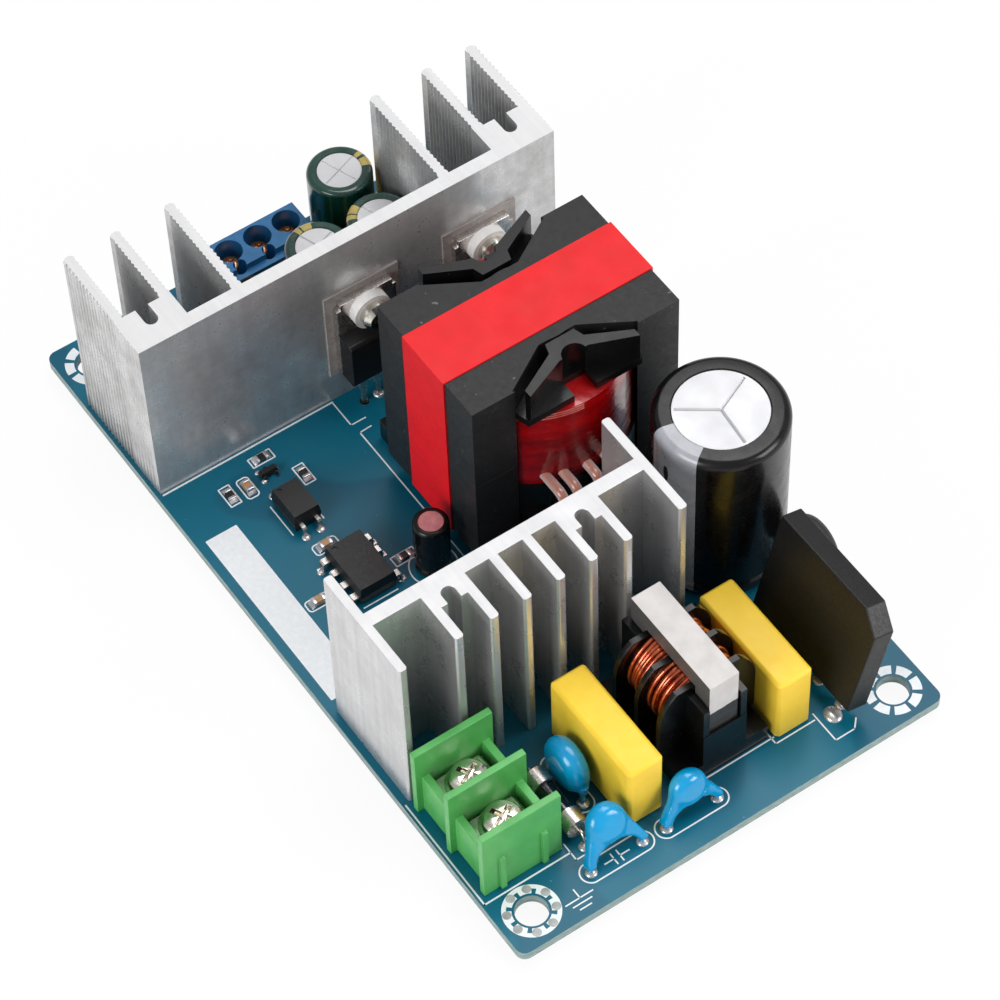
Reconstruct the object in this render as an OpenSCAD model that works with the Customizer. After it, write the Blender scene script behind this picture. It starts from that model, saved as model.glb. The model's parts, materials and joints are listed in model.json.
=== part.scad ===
// Open frame switching power supply: a single board with a mains input end (+X), a low
// voltage output end (-X) and two finned aluminium heatsinks. Millimetres, +Z up. The origin
// is the centre of the four mounting holes, on the underside of the board.

/* [Board] */
// Distance from the output end to the output heatsink's mounting face
out_zone_l = 32; // [31.6:0.1:36]
// Distance from that face to the transformer core
core_gap = 15.35; // [12:0.05:18]
// Distance from the input end to the front film capacitor
filter_inset = 8.2; // [8:0.1:10]
// Distance from the bridge rectifier's leads to the board's long edge
bridge_inset = 14.3; // [14:0.1:18]
// Thickness of the board
board_t = 1.6; // [1.2:0.2:2]
// Radius of the board's corners
board_corner_r = 1.5; // [0.5:0.5:2.5]
// Diameter of a mounting hole
mount_hole_d = 4.8; // [3.2:0.2:4.8]
// Distance of a mounting hole's centre from both edges
mount_inset = 5.15; // [4.65:0.1:5.35]
// Length of a lead below the board
tail_l = 1.8; // [1.4:0.1:2.2]
// Height of a solder cone below the board
joint_h = 1.1; // [0.8:0.1:1.3]

/* [Output heatsink] */
// Height of the output heatsink
out_sink_h = 33.4; // [26:0.2:36]
// Depth from the mounting face to the fin tips
out_sink_depth = 20.9; // [18:0.1:23]
// Thickness of the open part of the plate
out_plate_t = 2.3; // [2:0.1:2.8]
// Thickness of the plate at a pin channel
out_base_t = 6.9; // [6:0.1:7.4]
// Thickness of a fin at its ribs
out_fin_t = 1.7; // [1.4:0.1:2]
// Spacing of the two outer fins of a group
out_fin_pitch = 7.7; // [7.2:0.1:8]
// Spacing of the second and third fin of a group
out_fin_step = 9.1; // [8.4:0.1:9.4]
// Spacing of the fine ribs on the fins
rib_pitch = 0.9; // [0.8:0.1:1.2]
// Depth of the fine ribs
rib_depth = 0.22; // [0.1:0.02:0.3]

/* [Input heatsink] */
// Length of the input heatsink, across the board
in_sink_l = 47.1; // [40:0.1:56]
// Height of the input heatsink
in_sink_h = 32.3; // [26:0.1:35]
// Thickness of the plate
in_plate_t = 2.3; // [2:0.1:2.6]
// Reach of the fins in front of the plate
in_fin_l = 8.4; // [7:0.1:8.8]
// Reach of the end fins behind the plate
in_wing_l = 7.9; // [6:0.1:8.4]
// Thickness of a fin
in_fin_t = 1.45; // [1.2:0.05:1.6]
// Spacing of the two middle fins
in_fin_pitch = 5.45; // [4.6:0.05:6]
// Spacing of a middle fin and the next
in_fin_step = 5.35; // [5:0.05:6]
// Spacing of the two fins beside a pin channel
in_channel_pitch = 5.7; // [5:0.05:6]
// Height of the blocks that hold the pin channels, in front of the plate
in_boss_h = 2.9; // [2.5:0.1:3.2]

/* [Heatsink pins] */
// Diameter of a heatsink pin and of the channel that it is pressed into
sink_pin_d = 2.1; // [1.9:0.1:2.3]
// Length of pin inside the channel
sink_pin_grip = 8; // [5:0.5:12]

/* [Transformer] */
// Size of the core along X
core_x = 23.5; // [21:0.1:26]
// Size of the core along Y
core_y = 34.9; // [31:0.1:38]
// Height of the two core halves together
core_z = 34; // [32:0.1:36]
// Gap between the board and the core
core_lift = 3.8; // [3.4:0.1:4.4]
// Thickness of the core's end plates
core_plate_t = 4.7; // [4.2:0.1:5.2]
// Thickness of the core's outer legs at their thinnest
core_leg_t = 1.85; // [1.5:0.05:2.4]
// Diameter of the round centre post
post_d = 14.2; // [13:0.1:15]
// Wall of the bobbin tube
bobbin_wall = 1; // [0.8:0.1:1.2]
// Thickness of the bobbin's upper flange
flange_t = 1.3; // [1:0.1:1.6]
// Height of the bobbin's lower flange block
lower_flange_h = 6.75; // [2:0.05:8]
// Width of the adhesive tape round the core
tape_w = 10.2; // [8:0.1:12]
// Thickness of that tape
tape_t = 0.25; // [0.1:0.05:0.3]
// Number of pins on one side of the bobbin
pins_per_side = 6; // [4:1:6]
// Spacing of the bobbin pins
bobbin_pin_pitch = 5; // [4:0.1:5.1]
// Diameter of a bobbin pin
bobbin_pin_d = 0.9; // [0.7:0.1:1]

/* [Capacitors] */
// Diameter of the mains reservoir capacitor
bulk_d = 19.8; // [16:0.2:22]
// Height of the mains reservoir capacitor
bulk_h = 32; // [25:0.5:35]
// Diameter of an output capacitor
out_cap_d = 10; // [8:0.1:11]
// Height of an output capacitor
out_cap_h = 20; // [12:0.5:22]
// Diameter of the small supply capacitor
aux_cap_d = 5.4; // [4:0.1:6]
// Height of the small supply capacitor
aux_cap_h = 11; // [7:0.5:12]
// Length of a film capacitor
film_l = 19; // [17:0.1:21]
// Width of a film capacitor
film_w = 5.9; // [5:0.1:6.6]
// Height of a film capacitor
film_h = 12.6; // [10:0.1:14]
// Lead spacing of a film capacitor
film_pitch = 15; // [15:0.1:15.2]

/* [Round and flat parts] */
// Diameter of the first safety capacitor's disc
safety_d = 6.3; // [6:0.1:7]
// Diameter of the second safety capacitor's disc
safety_2_d = 6; // [5.6:0.1:6.8]
// Lead spacing of a safety capacitor
safety_pitch = 8.6; // [7.5:0.1:9]
// Diameter of the surge absorber
varistor_d = 8.6; // [7:0.1:9.6]
// Thickness of the surge absorber
varistor_t = 3.6; // [3:0.1:4]
// Diameter of the inrush limiter
limiter_d = 9.6; // [8:0.1:10]
// Thickness of the inrush limiter
limiter_t = 3.6; // [3:0.1:4]
// Diameter of the fuse
fuse_d = 3.6; // [3:0.1:4]
// Length of the fuse over its caps
fuse_l = 10.6; // [9.5:0.1:11.6]
// Width of the bridge rectifier
bridge_w = 22.3; // [21.5:0.1:22.5]
// Height of the bridge rectifier's body
bridge_h = 18.5; // [16:0.1:19]
// Thickness of the bridge rectifier
bridge_t = 3.5; // [3.2:0.1:3.6]
// Cut corner of the bridge rectifier
bridge_cut = 3.2; // [2.4:0.1:4]
// Angle that the bridge rectifier leans back
bridge_lean = 14.5; // [0:0.5:15]

/* [Mains filter choke] */
// Length of the choke core
choke_core_l = 18.4; // [17.6:0.1:18.8]
// Height of the choke core
choke_core_h = 19.4; // [18.6:0.1:20.4]
// Width of the choke core
choke_core_w = 4.9; // [4.5:0.1:5.2]
// Width of the bars of the choke core
choke_bar = 3.4; // [3.2:0.1:3.8]
// Diameter of the choke's flanges
choke_flange_d = 16.2; // [15.4:0.1:17.6]

/* [Terminals] */
// Spacing of the poles of the mains terminal
in_term_pitch = 8.15; // [7.5:0.05:9]
// Depth of the mains terminal
in_term_w = 12.9; // [12:0.1:14.2]
// Height of the mains terminal's walls
in_term_h = 14; // [12:0.2:16]
// Spacing of the poles of the output terminal
out_term_pitch = 5.08; // [5:0.04:5.6]
// Depth of the output terminal
out_term_w = 8.1; // [7.6:0.1:8.8]
// Height of the output terminal
out_term_h = 10; // [9.4:0.2:11]

/* [Power transistors] */
// Width of a power transistor's body
to_w = 10.2; // [9.8:0.1:10.4]
// Height of its moulded body
to_body_h = 9.2; // [8.6:0.1:9.4]
// Height of its metal tab above the body
to_tab_h = 6.4; // [6:0.1:6.6]
// Thickness over body and tab
to_t = 4.5; // [4.2:0.1:4.7]
// Thickness of the tab
to_tab_t = 1.3; // [1.1:0.1:1.4]
// Spacing of its leads
to_pitch = 2.54; // [2.5:0.02:2.6]
// Height of the body above the board
to_lift = 6.8; // [5:0.1:8]
// Thickness of the insulating pad
pad_t = 0.3; // [0.2:0.05:0.4]
// Diameter of the fixing screw's thread
screw_d = 2.5; // [2:0.1:2.6]

/* [Hidden] */

$fn = 48;
eps = 0.01;
top = board_t;

// Lengths of rows of parts, from which the board takes its size. The three rows across the
// board are the output heatsink, the input heatsink beside the reservoir capacitor, and the
// mains parts from the terminal to the bridge rectifier.
out_term_l = 3 * out_term_pitch + 0.4;
out_term_y = -1.35;
out_bay = out_term_y + out_term_l / 2 + 0.13 + out_cap_d + 0.2;
out_sink_l = 2 * (out_bay + out_fin_t + out_fin_step + out_fin_pitch);
sink_margin = 0.7;
in_sink_margin = 1.15;
bulk_margin = 0.4;
bulk_gap = 3.55;
choke_base = [choke_core_l + 1, choke_flange_d - 1.2, 3.2];
choke_inset = filter_inset + 0.7;
fin_gap = 0.8;
in_tip_inset = fin_gap + max(filter_inset + film_l, choke_inset + choke_base.x);
in_zone_l = in_tip_inset + in_fin_l + in_plate_t;
rail_w = 4.6;
rail_out = 3;
wire_out = 1.1;
sleeve_r = 0.8;
wing_gap = 0.25;
in_core_gap = rail_out + rail_w / 2 + wire_out + sleeve_r + wing_gap + in_wing_l;
board_l = out_zone_l + core_gap + core_x + in_core_gap + in_zone_l;

in_term_margin = 1.2;
fuse_gap = 1;
varistor_gap = 0.2;
film_gap = 1;
choke_gap = 2.7;
rear_gap = 0.25;
bridge_gap = 3.25;
board_w = max(out_sink_l + 2 * sink_margin,
    in_sink_margin + in_sink_l + bulk_gap + bulk_d + bulk_margin,
    in_term_margin + in_term_w + fuse_gap + fuse_d + varistor_gap + varistor_t + film_gap
        + film_w + choke_gap + choke_flange_d + rear_gap + film_w + bridge_gap + bridge_inset);
mount_x = board_l / 2 - mount_inset;
mount_y = board_w / 2 - mount_inset;

// Places on the board, set out from its edges and from each other
in_end = board_l / 2;
out_end = -board_l / 2;
near_edge = -board_w / 2;
far_edge = board_w / 2;

out_sink_face = out_end + out_zone_l;
in_sink_back = in_end - in_zone_l;
in_sink_y = near_edge + in_sink_margin + in_sink_l / 2;
core_at = [out_sink_face + core_gap + core_x / 2, far_edge - 6.4 - core_y / 2];
rail_x = core_x / 2 + rail_out;
bulk_at = [core_at.x + rail_x + rail_w / 2 + 0.05 + bulk_d / 2, far_edge - bulk_margin - bulk_d / 2];
aux_at = [core_at.x + 6.5, core_at.y - core_y / 2 - 1.8 - aux_cap_d / 2];

in_term_at = [in_end - in_tip_inset + 1.55 + in_term_pitch, near_edge + in_term_margin];
fuse_at = [in_end - 10.9 - fuse_l / 2, in_term_at.y + in_term_w + fuse_gap + fuse_d / 2];
varistor_at = [in_end - 18.9, fuse_at.y + fuse_d / 2 + varistor_gap + varistor_t / 2];
film_front_at = [in_end - filter_inset - film_l / 2,
    varistor_at.y + varistor_t / 2 + film_gap + film_w / 2];
choke_at = [in_end - choke_inset - choke_base.x / 2,
    film_front_at.y + film_w / 2 + choke_gap + choke_flange_d / 2];
film_rear_at = [film_front_at.x + 0.3, choke_at.y + choke_flange_d / 2 + rear_gap + film_w / 2];
safety_at = [[in_end - 5.4, film_front_at.y - 6.95], [in_end - 5.2, film_front_at.y + 5.55]];
bridge_at = [in_end - 15.1, film_rear_at.y + film_w / 2 + bridge_gap];
limiter_at = [bulk_at.x + bulk_d / 2 + 3.05, far_edge - 1.2 - limiter_t / 2];

out_term_at = [out_end + 3, out_term_y];
out_cap_y = out_bay - 0.2 - out_cap_d / 2;
out_cap_at = [[out_end + 9.9, out_cap_y], [out_end + 10.9 + out_cap_d, out_cap_y],
    [out_end + 20.3, out_cap_y - out_cap_d - 0.5]];
drum_h = 9;
drum_r = 3.8;
drum_at = [out_term_at.x + out_term_w + 0.6 + drum_r, out_cap_at[2].y - 8.5];
rect_y = [1, 21.6];
switch_y = in_sink_y;

// Rounded shapes that several parts share.

// Upright electrolytic capacitor: sleeved can with a rolled rim and a bead near its foot
module can(d, h) {
    r = d / 2;
    rim = 0.07 * d;
    bead_z = 0.12 * h;
    rotate_extrude($fn = 72)
        polygon([[0, 0], [r - 0.5, 0], [r, 0.5], [r, bead_z - 0.7], [r - 0.4, bead_z],
            [r, bead_z + 0.7], [r, h - rim], [r - 0.3 * rim, h - 0.3 * rim], [r - rim, h],
            [r - 2 * rim, h - 0.3], [0, h - 0.3]]);
}

// Disc standing on edge with rounded faces, axis along Y
module lens(d, t) {
    rotate([90, 0, 0])
        rotate_extrude($fn = 60)
            intersection() {
                translate([0, -t / 2])
                    square([d / 2, t]);
                union() {
                    square([d - t, t], center = true);
                    translate([(d - t) / 2, 0])
                        circle(d = t);
                }
            }
}

// Box centred in X and Y with its underside at z = 0
module block(size) {
    translate([-size.x / 2, -size.y / 2, 0])
        cube(size);
}

// Lead positions: [x, y, diameter, height of its upper end]
function pair_x(at, pitch, d, z) = [for (s = [-1, 1]) [at.x + s * pitch / 2, at.y, d, z]];
function pair_y(at, pitch, d, z) = [for (s = [-1, 1]) [at.x, at.y + s * pitch / 2, d, z]];

can_lift = 0.3;
can_z = top + can_lift;
film_z = top + 0.4;
drum_z = top + 0.4;
choke_pin = [14, 10.2];
choke_pins = [for (sx = [-1, 1], sy = [-1, 1])
    [choke_at.x + sx * choke_pin.x / 2, choke_at.y + sy * choke_pin.y / 2, 0.8, top]];
in_pole = [for (i = [0, 1]) [in_term_at.x + (i - 0.5) * in_term_pitch, in_term_at.y + in_term_w / 2]];
out_pole = [for (i = [-1:1]) [out_term_at.x + 3.2, out_term_at.y + i * out_term_pitch]];

round_leads = concat(
    pair_y(bulk_at, 7.5, 1, can_z),
    pair_x(film_front_at, film_pitch, 0.8, film_z),
    pair_x(film_rear_at, film_pitch, 0.8, film_z),
    pair_y(out_cap_at[0], 5, 0.6, can_z),
    pair_y(out_cap_at[1], 5, 0.6, can_z),
    pair_y(out_cap_at[2], 5, 0.6, can_z),
    pair_x(aux_at, 2, 0.5, can_z),
    pair_y(drum_at, 4, 0.8, drum_z),
    choke_pins);

// Leads that belong to their own part: the board and its joints need their places only
safety_leads = [for (at = safety_at) each pair_y(at, safety_pitch, 0.6, top)];
varistor_pitch = 7.5;
limiter_pitch = 5;
own_leads = concat(safety_leads,
    pair_x(varistor_at, varistor_pitch, 0.6, top),
    pair_x(limiter_at, limiter_pitch, 0.8, top));

fuse_hole_x = [for (s = [-1, 1]) fuse_at.x + s * (fuse_l / 2 + 1.6)];
fuse_wire_d = 0.6;
fuse_leads = [for (x = fuse_hole_x) [x, fuse_at.y, fuse_wire_d, top]];

bridge_pitch = 5.08;
bridge_lead = [1, 0.6];
bridge_foot = 3.9;
bridge_leads_at = [for (i = [0:3])
    [bridge_at.x + (i - 1.5) * bridge_pitch, bridge_at.y + bridge_t / 2]];

to_lead = [0.5, 0.8];
to_lead_x = 2.6;
function to_feet(face_x, dir, y) =
    [for (i = [-1:1]) [face_x + dir * (pad_t + to_lead_x), y + i * to_pitch]];
flat_feet = concat(to_feet(out_sink_face, 1, rect_y[0]), to_feet(out_sink_face, 1, rect_y[1]),
    to_feet(in_sink_back, -1, switch_y));
in_foot_y = in_term_w / 2 - 3.15;
in_feet = [for (p = in_pole) [p.x, p.y + in_foot_y]];
out_feet = [for (p = out_pole) [p.x, p.y]];
contact_feet = concat(in_feet, out_feet);
contact_foot = [1, 0.8];

// Transformer levels, from the board up
core_z0 = top + core_lift;
core_split = core_z0 + core_z / 2;
window_z0 = core_z0 + core_plate_t;
window_z1 = core_z0 + core_z - core_plate_t;
notch_mouth = 22;
notch_root = 6.2;
notch_depth = 4.8;
window_r = core_y / 2 - core_leg_t;
bobbin_pins = [for (s = [-1, 1], i = [0:pins_per_side - 1])
    [core_at.x + s * rail_x, core_at.y + (i - (pins_per_side - 1) / 2) * bobbin_pin_pitch,
        bobbin_pin_d]];

// Pin channels of the heatsinks
out_fin_y = [out_sink_l / 2 - out_fin_t / 2, out_bay + out_fin_t / 2 + out_fin_step,
    out_bay + out_fin_t / 2];
out_channel_y = (out_fin_y[0] + out_fin_y[1]) / 2;
channel_floor = 3.3;
in_fin_y = [in_fin_pitch / 2, in_fin_pitch / 2 + in_fin_step,
    in_fin_pitch / 2 + in_fin_step + in_channel_pitch, in_sink_l / 2 - in_fin_t / 2];
in_channel_y = (in_fin_y[1] + in_fin_y[2]) / 2;
out_pin_x = out_sink_face - channel_floor - sink_pin_d / 2;
in_pin_x = in_sink_back + in_plate_t + 0.4 + sink_pin_d / 2;
sink_pins = concat([for (s = [-1, 1]) [out_pin_x, s * out_channel_y, sink_pin_d]],
    [for (s = [-1, 1]) [in_pin_x, in_sink_y + s * in_channel_y, sink_pin_d]]);

wire_pin_x = core_at.x + rail_x + rail_w / 2 + wire_out;

// The printed circuit board, with a hole for each lead
module circuit_board() {
    color("teal")
        difference() {
            union() {
                block([board_l - 2 * board_corner_r, board_w, board_t]);
                block([board_l, board_w - 2 * board_corner_r, board_t]);
                for (sx = [-1, 1], sy = [-1, 1])
                    translate([sx * (board_l / 2 - board_corner_r), sy * (board_w / 2 - board_corner_r), 0])
                        cylinder(r = board_corner_r, h = board_t);
            }
            for (sx = [-1, 1], sy = [-1, 1])
                translate([sx * mount_x, sy * mount_y, -1])
                    cylinder(d = mount_hole_d, h = board_t + 2, $fn = 96);
            for (p = concat(round_leads, own_leads, fuse_leads, bobbin_pins, sink_pins))
                translate([p.x, p.y, -1])
                    cylinder(d = p[2], h = board_t + 2, $fn = 24);
            for (p = concat(flat_feet, bridge_leads_at, contact_feet))
                translate([p.x, p.y, -1])
                    cylinder(d = 1.5, h = board_t + 2, $fn = 24);
        }
}

// Outline of one ribbed fin, from x = 0 at its root to x = -reach at its tip
module ribbed_fin(reach, ribbed_from) {
    n = floor((reach - ribbed_from - 0.6) / rib_pitch);
    h = out_fin_t / 2;
    side = [for (i = [0:n - 1], k = [0, 1])
        [-ribbed_from - (i + k / 2) * rib_pitch, h - k * rib_depth]];
    tip = [[-reach + 0.4, h], [-reach, h - 0.5]];
    left = concat([[0, h]], side, tip);
    right = [for (i = [len(left) - 1:-1:0]) [left[i].x, -left[i].y]];
    polygon(concat(left, right));
}

module output_heatsink() {
    color("silver")
        difference() {
            translate([out_sink_face, 0, top])
                linear_extrude(out_sink_h)
                    output_section();
            for (y = rect_y)
                screw_hole(out_sink_face, y);
        }
}

// Tapped hole through a heatsink's plate at a transistor's place
module screw_hole(face_x, y) {
    translate([face_x, y, top + to_lift + to_hole_z])
        rotate([0, 90, 0])
            cylinder(d = screw_d, h = 3 * out_plate_t, center = true, $fn = 32);
}

// Extruded section of the output heatsink: two groups of ribbed fins on a plate, with a
// pin channel between the outer fins of each group
module output_section() {
    pair = out_fin_y[0] - out_fin_y[1] + out_fin_t;
    difference() {
        union() {
            translate([-out_plate_t, -out_sink_l / 2])
                square([out_plate_t, out_sink_l]);
            for (s = [-1, 1]) {
                translate([-out_base_t, s * out_channel_y - pair / 2])
                    square([out_base_t, pair]);
                translate([0, s * out_fin_y[0]])
                    ribbed_fin(out_sink_depth, 2);
                translate([0, s * out_fin_y[1]])
                    ribbed_fin(out_sink_depth, out_base_t + 0.5);
                translate([0, s * out_fin_y[2]])
                    ribbed_fin(out_sink_depth, out_plate_t + 0.5);
            }
        }
        for (s = [-1, 1])
            translate([-channel_floor - sink_pin_d / 2, s * out_channel_y]) {
                circle(d = sink_pin_d, $fn = 24);
                translate([-out_base_t, -sink_pin_d / 2])
                    square([out_base_t, sink_pin_d]);
            }
    }
}

module input_heatsink() {
    color("gainsboro")
        difference() {
            translate([in_sink_back, in_sink_y, top])
                linear_extrude(in_sink_h)
                    input_section();
            screw_hole(in_sink_back, switch_y);
        }
}

// Extruded section of the input heatsink: plain fins in front of the plate, end fins that
// also reach back, and a pin channel in each of two blocks
module input_section() {
    front = in_plate_t + in_fin_l;
    boss_w = in_fin_y[2] - in_fin_y[1] + in_fin_t;
    difference() {
        union() {
            translate([0, -in_sink_l / 2])
                square([in_plate_t, in_sink_l]);
            for (s = [-1, 1]) {
                for (y = [in_fin_y[0], in_fin_y[1], in_fin_y[2]])
                    translate([0, s * y])
                        plain_fin(0, front);
                translate([0, s * in_fin_y[3]])
                    plain_fin(in_wing_l, front);
                translate([0, s * in_channel_y - boss_w / 2])
                    square([in_plate_t + in_boss_h, boss_w]);
            }
        }
        for (s = [-1, 1])
            translate([in_plate_t + 0.4 + sink_pin_d / 2, s * in_channel_y]) {
                circle(d = sink_pin_d, $fn = 24);
                translate([0, -sink_pin_d / 2])
                    square([in_boss_h, sink_pin_d]);
            }
    }
}

// Outline of a smooth fin with eased corners, from behind the plate's back to its front tip
module plain_fin(behind, reach) {
    h = in_fin_t / 2;
    ease = behind > 0 ? 0.3 : 0;
    polygon([[-behind, -h + ease], [-behind + ease, -h], [reach - 0.3, -h], [reach, -h + 0.3],
        [reach, h - 0.3], [reach - 0.3, h], [-behind + ease, h], [-behind, h - ease]]);
}

// Steel pins pressed into the heatsink channels and soldered into the board
module heatsink_pins() {
    color("lightgray")
        for (p = sink_pins)
            translate([p.x, p.y, -tail_l])
                cylinder(d = p[2], h = tail_l + top + sink_pin_grip, $fn = 24);
}

// Flat outline of the core's end plate, with its two tapered notches
module core_plate_outline() {
    difference() {
        square([core_x, core_y], center = true);
        for (s = [-1, 1])
            polygon([[s * (core_x / 2 + 1), -notch_mouth / 2], [s * core_x / 2, -notch_mouth / 2],
                [s * (core_x / 2 - notch_depth), -notch_root / 2],
                [s * (core_x / 2 - notch_depth), notch_root / 2],
                [s * core_x / 2, notch_mouth / 2], [s * (core_x / 2 + 1), notch_mouth / 2]]);
    }
}

// One core half, plate down, with its outer legs and round centre post
module core_half() {
    linear_extrude(core_plate_t)
        core_plate_outline();
    linear_extrude(core_z / 2)
        difference() {
            square([core_x, core_y], center = true);
            circle(r = window_r, $fn = 96);
        }
    cylinder(d = post_d, h = core_z / 2);
}

module transformer_core_lower() {
    color("dimgray")
        translate([core_at.x, core_at.y, core_z0])
            core_half();
}

module transformer_core_upper() {
    color("dimgray")
        translate([core_at.x, core_at.y, core_z0 + core_z])
            mirror([0, 0, 1])
                core_half();
}

// Band of tape round the long way of the core
module transformer_tape() {
    color("red")
        translate([core_at.x, core_at.y, core_split])
            rotate([90, 0, 90])
                translate([0, 0, -tape_w / 2])
                    linear_extrude(tape_w)
                        difference() {
                            square([core_y + 2 * tape_t, core_z + 2 * tape_t], center = true);
                            square([core_y, core_z], center = true);
                        }
}

bobbin_gap = 0.25;
tube_r = post_d / 2 + bobbin_gap;
flange_r = window_r - bobbin_gap;
coil_z0 = window_z0 + bobbin_gap + lower_flange_h;
coil_z1 = window_z1 - bobbin_gap - flange_t;
coil_r = flange_r - 0.5;
guide_top = core_z0 + core_z + 0.3;

// Bobbin: tube, flanges, pin rails and the raised guides that stand in the core's notches
module transformer_bobbin() {
    z0 = window_z0 + bobbin_gap;
    color("#202020")
        translate([core_at.x, core_at.y, 0])
            difference() {
                union() {
                    translate([0, 0, z0])
                        cylinder(r = tube_r + bobbin_wall, h = coil_z1 + flange_t / 2 - z0);
                    translate([0, 0, z0])
                        cylinder(r = flange_r, h = coil_z0 - z0, $fn = 96);
                    translate([0, 0, coil_z1])
                        linear_extrude(flange_t)
                            upper_flange();
                    for (s = [-1, 1]) {
                        bobbin_rail(s, z0);
                        translate([0, 0, coil_z1 + flange_t / 2])
                            linear_extrude(guide_top - coil_z1 - flange_t / 2)
                                scale([s, 1])
                                    guide_outline();
                    }
                }
                translate([0, 0, z0 - 1])
                    cylinder(r = tube_r, h = core_z);
            }
}

// Guide in the mouth of the core's notch: where it starts behind the notch's root, where its
// legs leave the bridge between them, and where they end outside the core
guide_x = [core_x / 2 - 4.15, core_x / 2 - 2.45, core_x / 2 + 2.15];
guide_y = [2.4, 2.9, 9.2];
leg_t = 1.3;

// Upper flange: a disc cut back on the open sides of the core, with two lobes on each
module upper_flange() {
    intersection() {
        circle(r = flange_r, $fn = 96);
        square([2 * (guide_x[1] + 1.4), core_y], center = true);
    }
    lobe_in = 1.9;
    lobe_out = 10.2;
    for (sx = [-1, 1], sy = [-1, 1])
        scale([sx, sy])
            polygon([[guide_x[1], lobe_in], [guide_x[2], lobe_in], [guide_x[2], lobe_out - 0.6],
                [guide_x[2] - 1.9, lobe_out], [guide_x[1], lobe_out]]);
}

// Guide between the lobes: a bridge near the post and two legs that spread towards the
// mouth of the core's notch, with a round gap between them
module guide_outline() {
    bridge_x = guide_x[1] + 1.8;
    difference() {
        polygon([for (s = [-1, 1]) each [for (p = [[guide_x[0], guide_y[0]], [guide_x[1], guide_y[1]],
            [guide_x[2] - leg_t, guide_y[2]], [guide_x[2], guide_y[2]], [bridge_x, guide_y[0]]])
            [p.x, s * p.y]]], [[0, 1, 2, 3, 4, 9, 8, 7, 6, 5]]);
        translate([bridge_x + 0.3, 0])
            circle(d = 3.9, $fn = 32);
    }
}

// Pin rail on one side, joined to the lower flange by a web
module bobbin_rail(s, z0) {
    rail_l = pins_per_side * bobbin_pin_pitch + 1;
    rail_z = top + 0.4;
    rail_h = 4;
    web = [2, 20];
    translate([s * rail_x, 0, rail_z])
        block([rail_w, rail_l, rail_h]);
    translate([s * (core_x / 2 + 0.4 + web.x / 2), 0, rail_z])
        block([web.x, web.y, z0 - rail_z + flange_t]);
}

// Wound and taped coil between the flanges
module transformer_winding() {
    color("firebrick")
        translate([core_at.x, core_at.y, coil_z0])
            difference() {
                cylinder(r = coil_r, h = coil_z1 - coil_z0, $fn = 96);
                translate([0, 0, -1])
                    cylinder(r = tube_r + bobbin_wall, h = coil_z1 - coil_z0 + 2);
            }
}

// Square-set rows of pins, moulded into the rails
module transformer_pins() {
    color("silver")
        for (p = bobbin_pins)
            translate([p.x, p.y, -tail_l])
                cylinder(d = p[2], h = tail_l + top + 0.4, $fn = 24);
}

// Sleeved winding ends, brought out low on the coil and down to the board
module transformer_leads() {
    bend = 2;
    lead_z = coil_z0 + 2 * sleeve_r;
    lead_y = [-6.6, -4.2, -0.6, 2.4];
    reach = wire_pin_x - core_at.x - bend;
    color("mistyrose")
        translate([core_at.x, core_at.y, 0])
            difference() {
                for (y = lead_y)
                    translate([0, y, lead_z]) {
                        translate([coil_r - bend, 0, 0])
                            rotate([0, 90, 0])
                                cylinder(r = sleeve_r, h = reach - coil_r + bend + eps, $fn = 24);
                        translate([reach, 0, -bend])
                            rotate([90, 0, 0])
                                rotate_extrude(angle = 90, $fn = 48)
                                    translate([bend, 0])
                                        circle(r = sleeve_r, $fn = 24);
                        translate([reach + bend, 0, top - lead_z])
                            cylinder(r = sleeve_r, h = lead_z - bend - top + eps, $fn = 24);
                    }
                translate([0, 0, coil_z0 - 1])
                    cylinder(r = coil_r, h = 4 * sleeve_r + 2, $fn = 96);
            }
}

module bulk_capacitor() {
    color("#181818")
        translate([bulk_at.x, bulk_at.y, can_z])
            can(bulk_d, bulk_h - can_lift);
}

// Boxed film capacitor: two crossed profiles with cut upper corners, and cut upright edges
module film_capacitor(at) {
    ease = 0.5;
    color("khaki")
        translate([at.x, at.y, film_z])
            intersection() {
                rotate([90, 0, 0])
                    linear_extrude(film_w, center = true)
                        cut_corners(film_l, film_h, ease);
                rotate([90, 0, 90])
                    linear_extrude(film_l, center = true)
                        cut_corners(film_w, film_h, ease);
                linear_extrude(film_h)
                    intersection() {
                        square([film_l, film_w], center = true);
                        rotate(45)
                            square((film_l + film_w) / sqrt(2) - ease * sqrt(2), center = true);
                    }
            }
}

// Profile standing on y = 0 with its two upper corners cut
module cut_corners(w, h, cut) {
    polygon([[-w / 2, 0], [w / 2, 0], [w / 2, h - cut], [w / 2 - cut, h], [-w / 2 + cut, h],
        [-w / 2, h - cut]]);
}

module film_capacitor_front() {
    film_capacitor(film_front_at);
}

module film_capacitor_rear() {
    film_capacitor(film_rear_at);
}

module output_capacitor(i) {
    color("darkgreen")
        translate([out_cap_at[i].x, out_cap_at[i].y, can_z])
            can(out_cap_d, out_cap_h - can_lift);
}

module output_capacitor_1() {
    output_capacitor(0);
}

module output_capacitor_2() {
    output_capacitor(1);
}

module output_capacitor_3() {
    output_capacitor(2);
}

module supply_capacitor() {
    color("#181818")
        translate([aux_at.x, aux_at.y, can_z])
            can(aux_cap_d, aux_cap_h - can_lift);
}

// Disc capacitor dipped in resin, which runs down its two spread legs in a skirt with an arch
// below. The disc leans back over the board by the angle given, with its lower edge the given
// distance above the legs' knees.
safety_t = 3.2;
skirt_t = 1.9;

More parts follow.
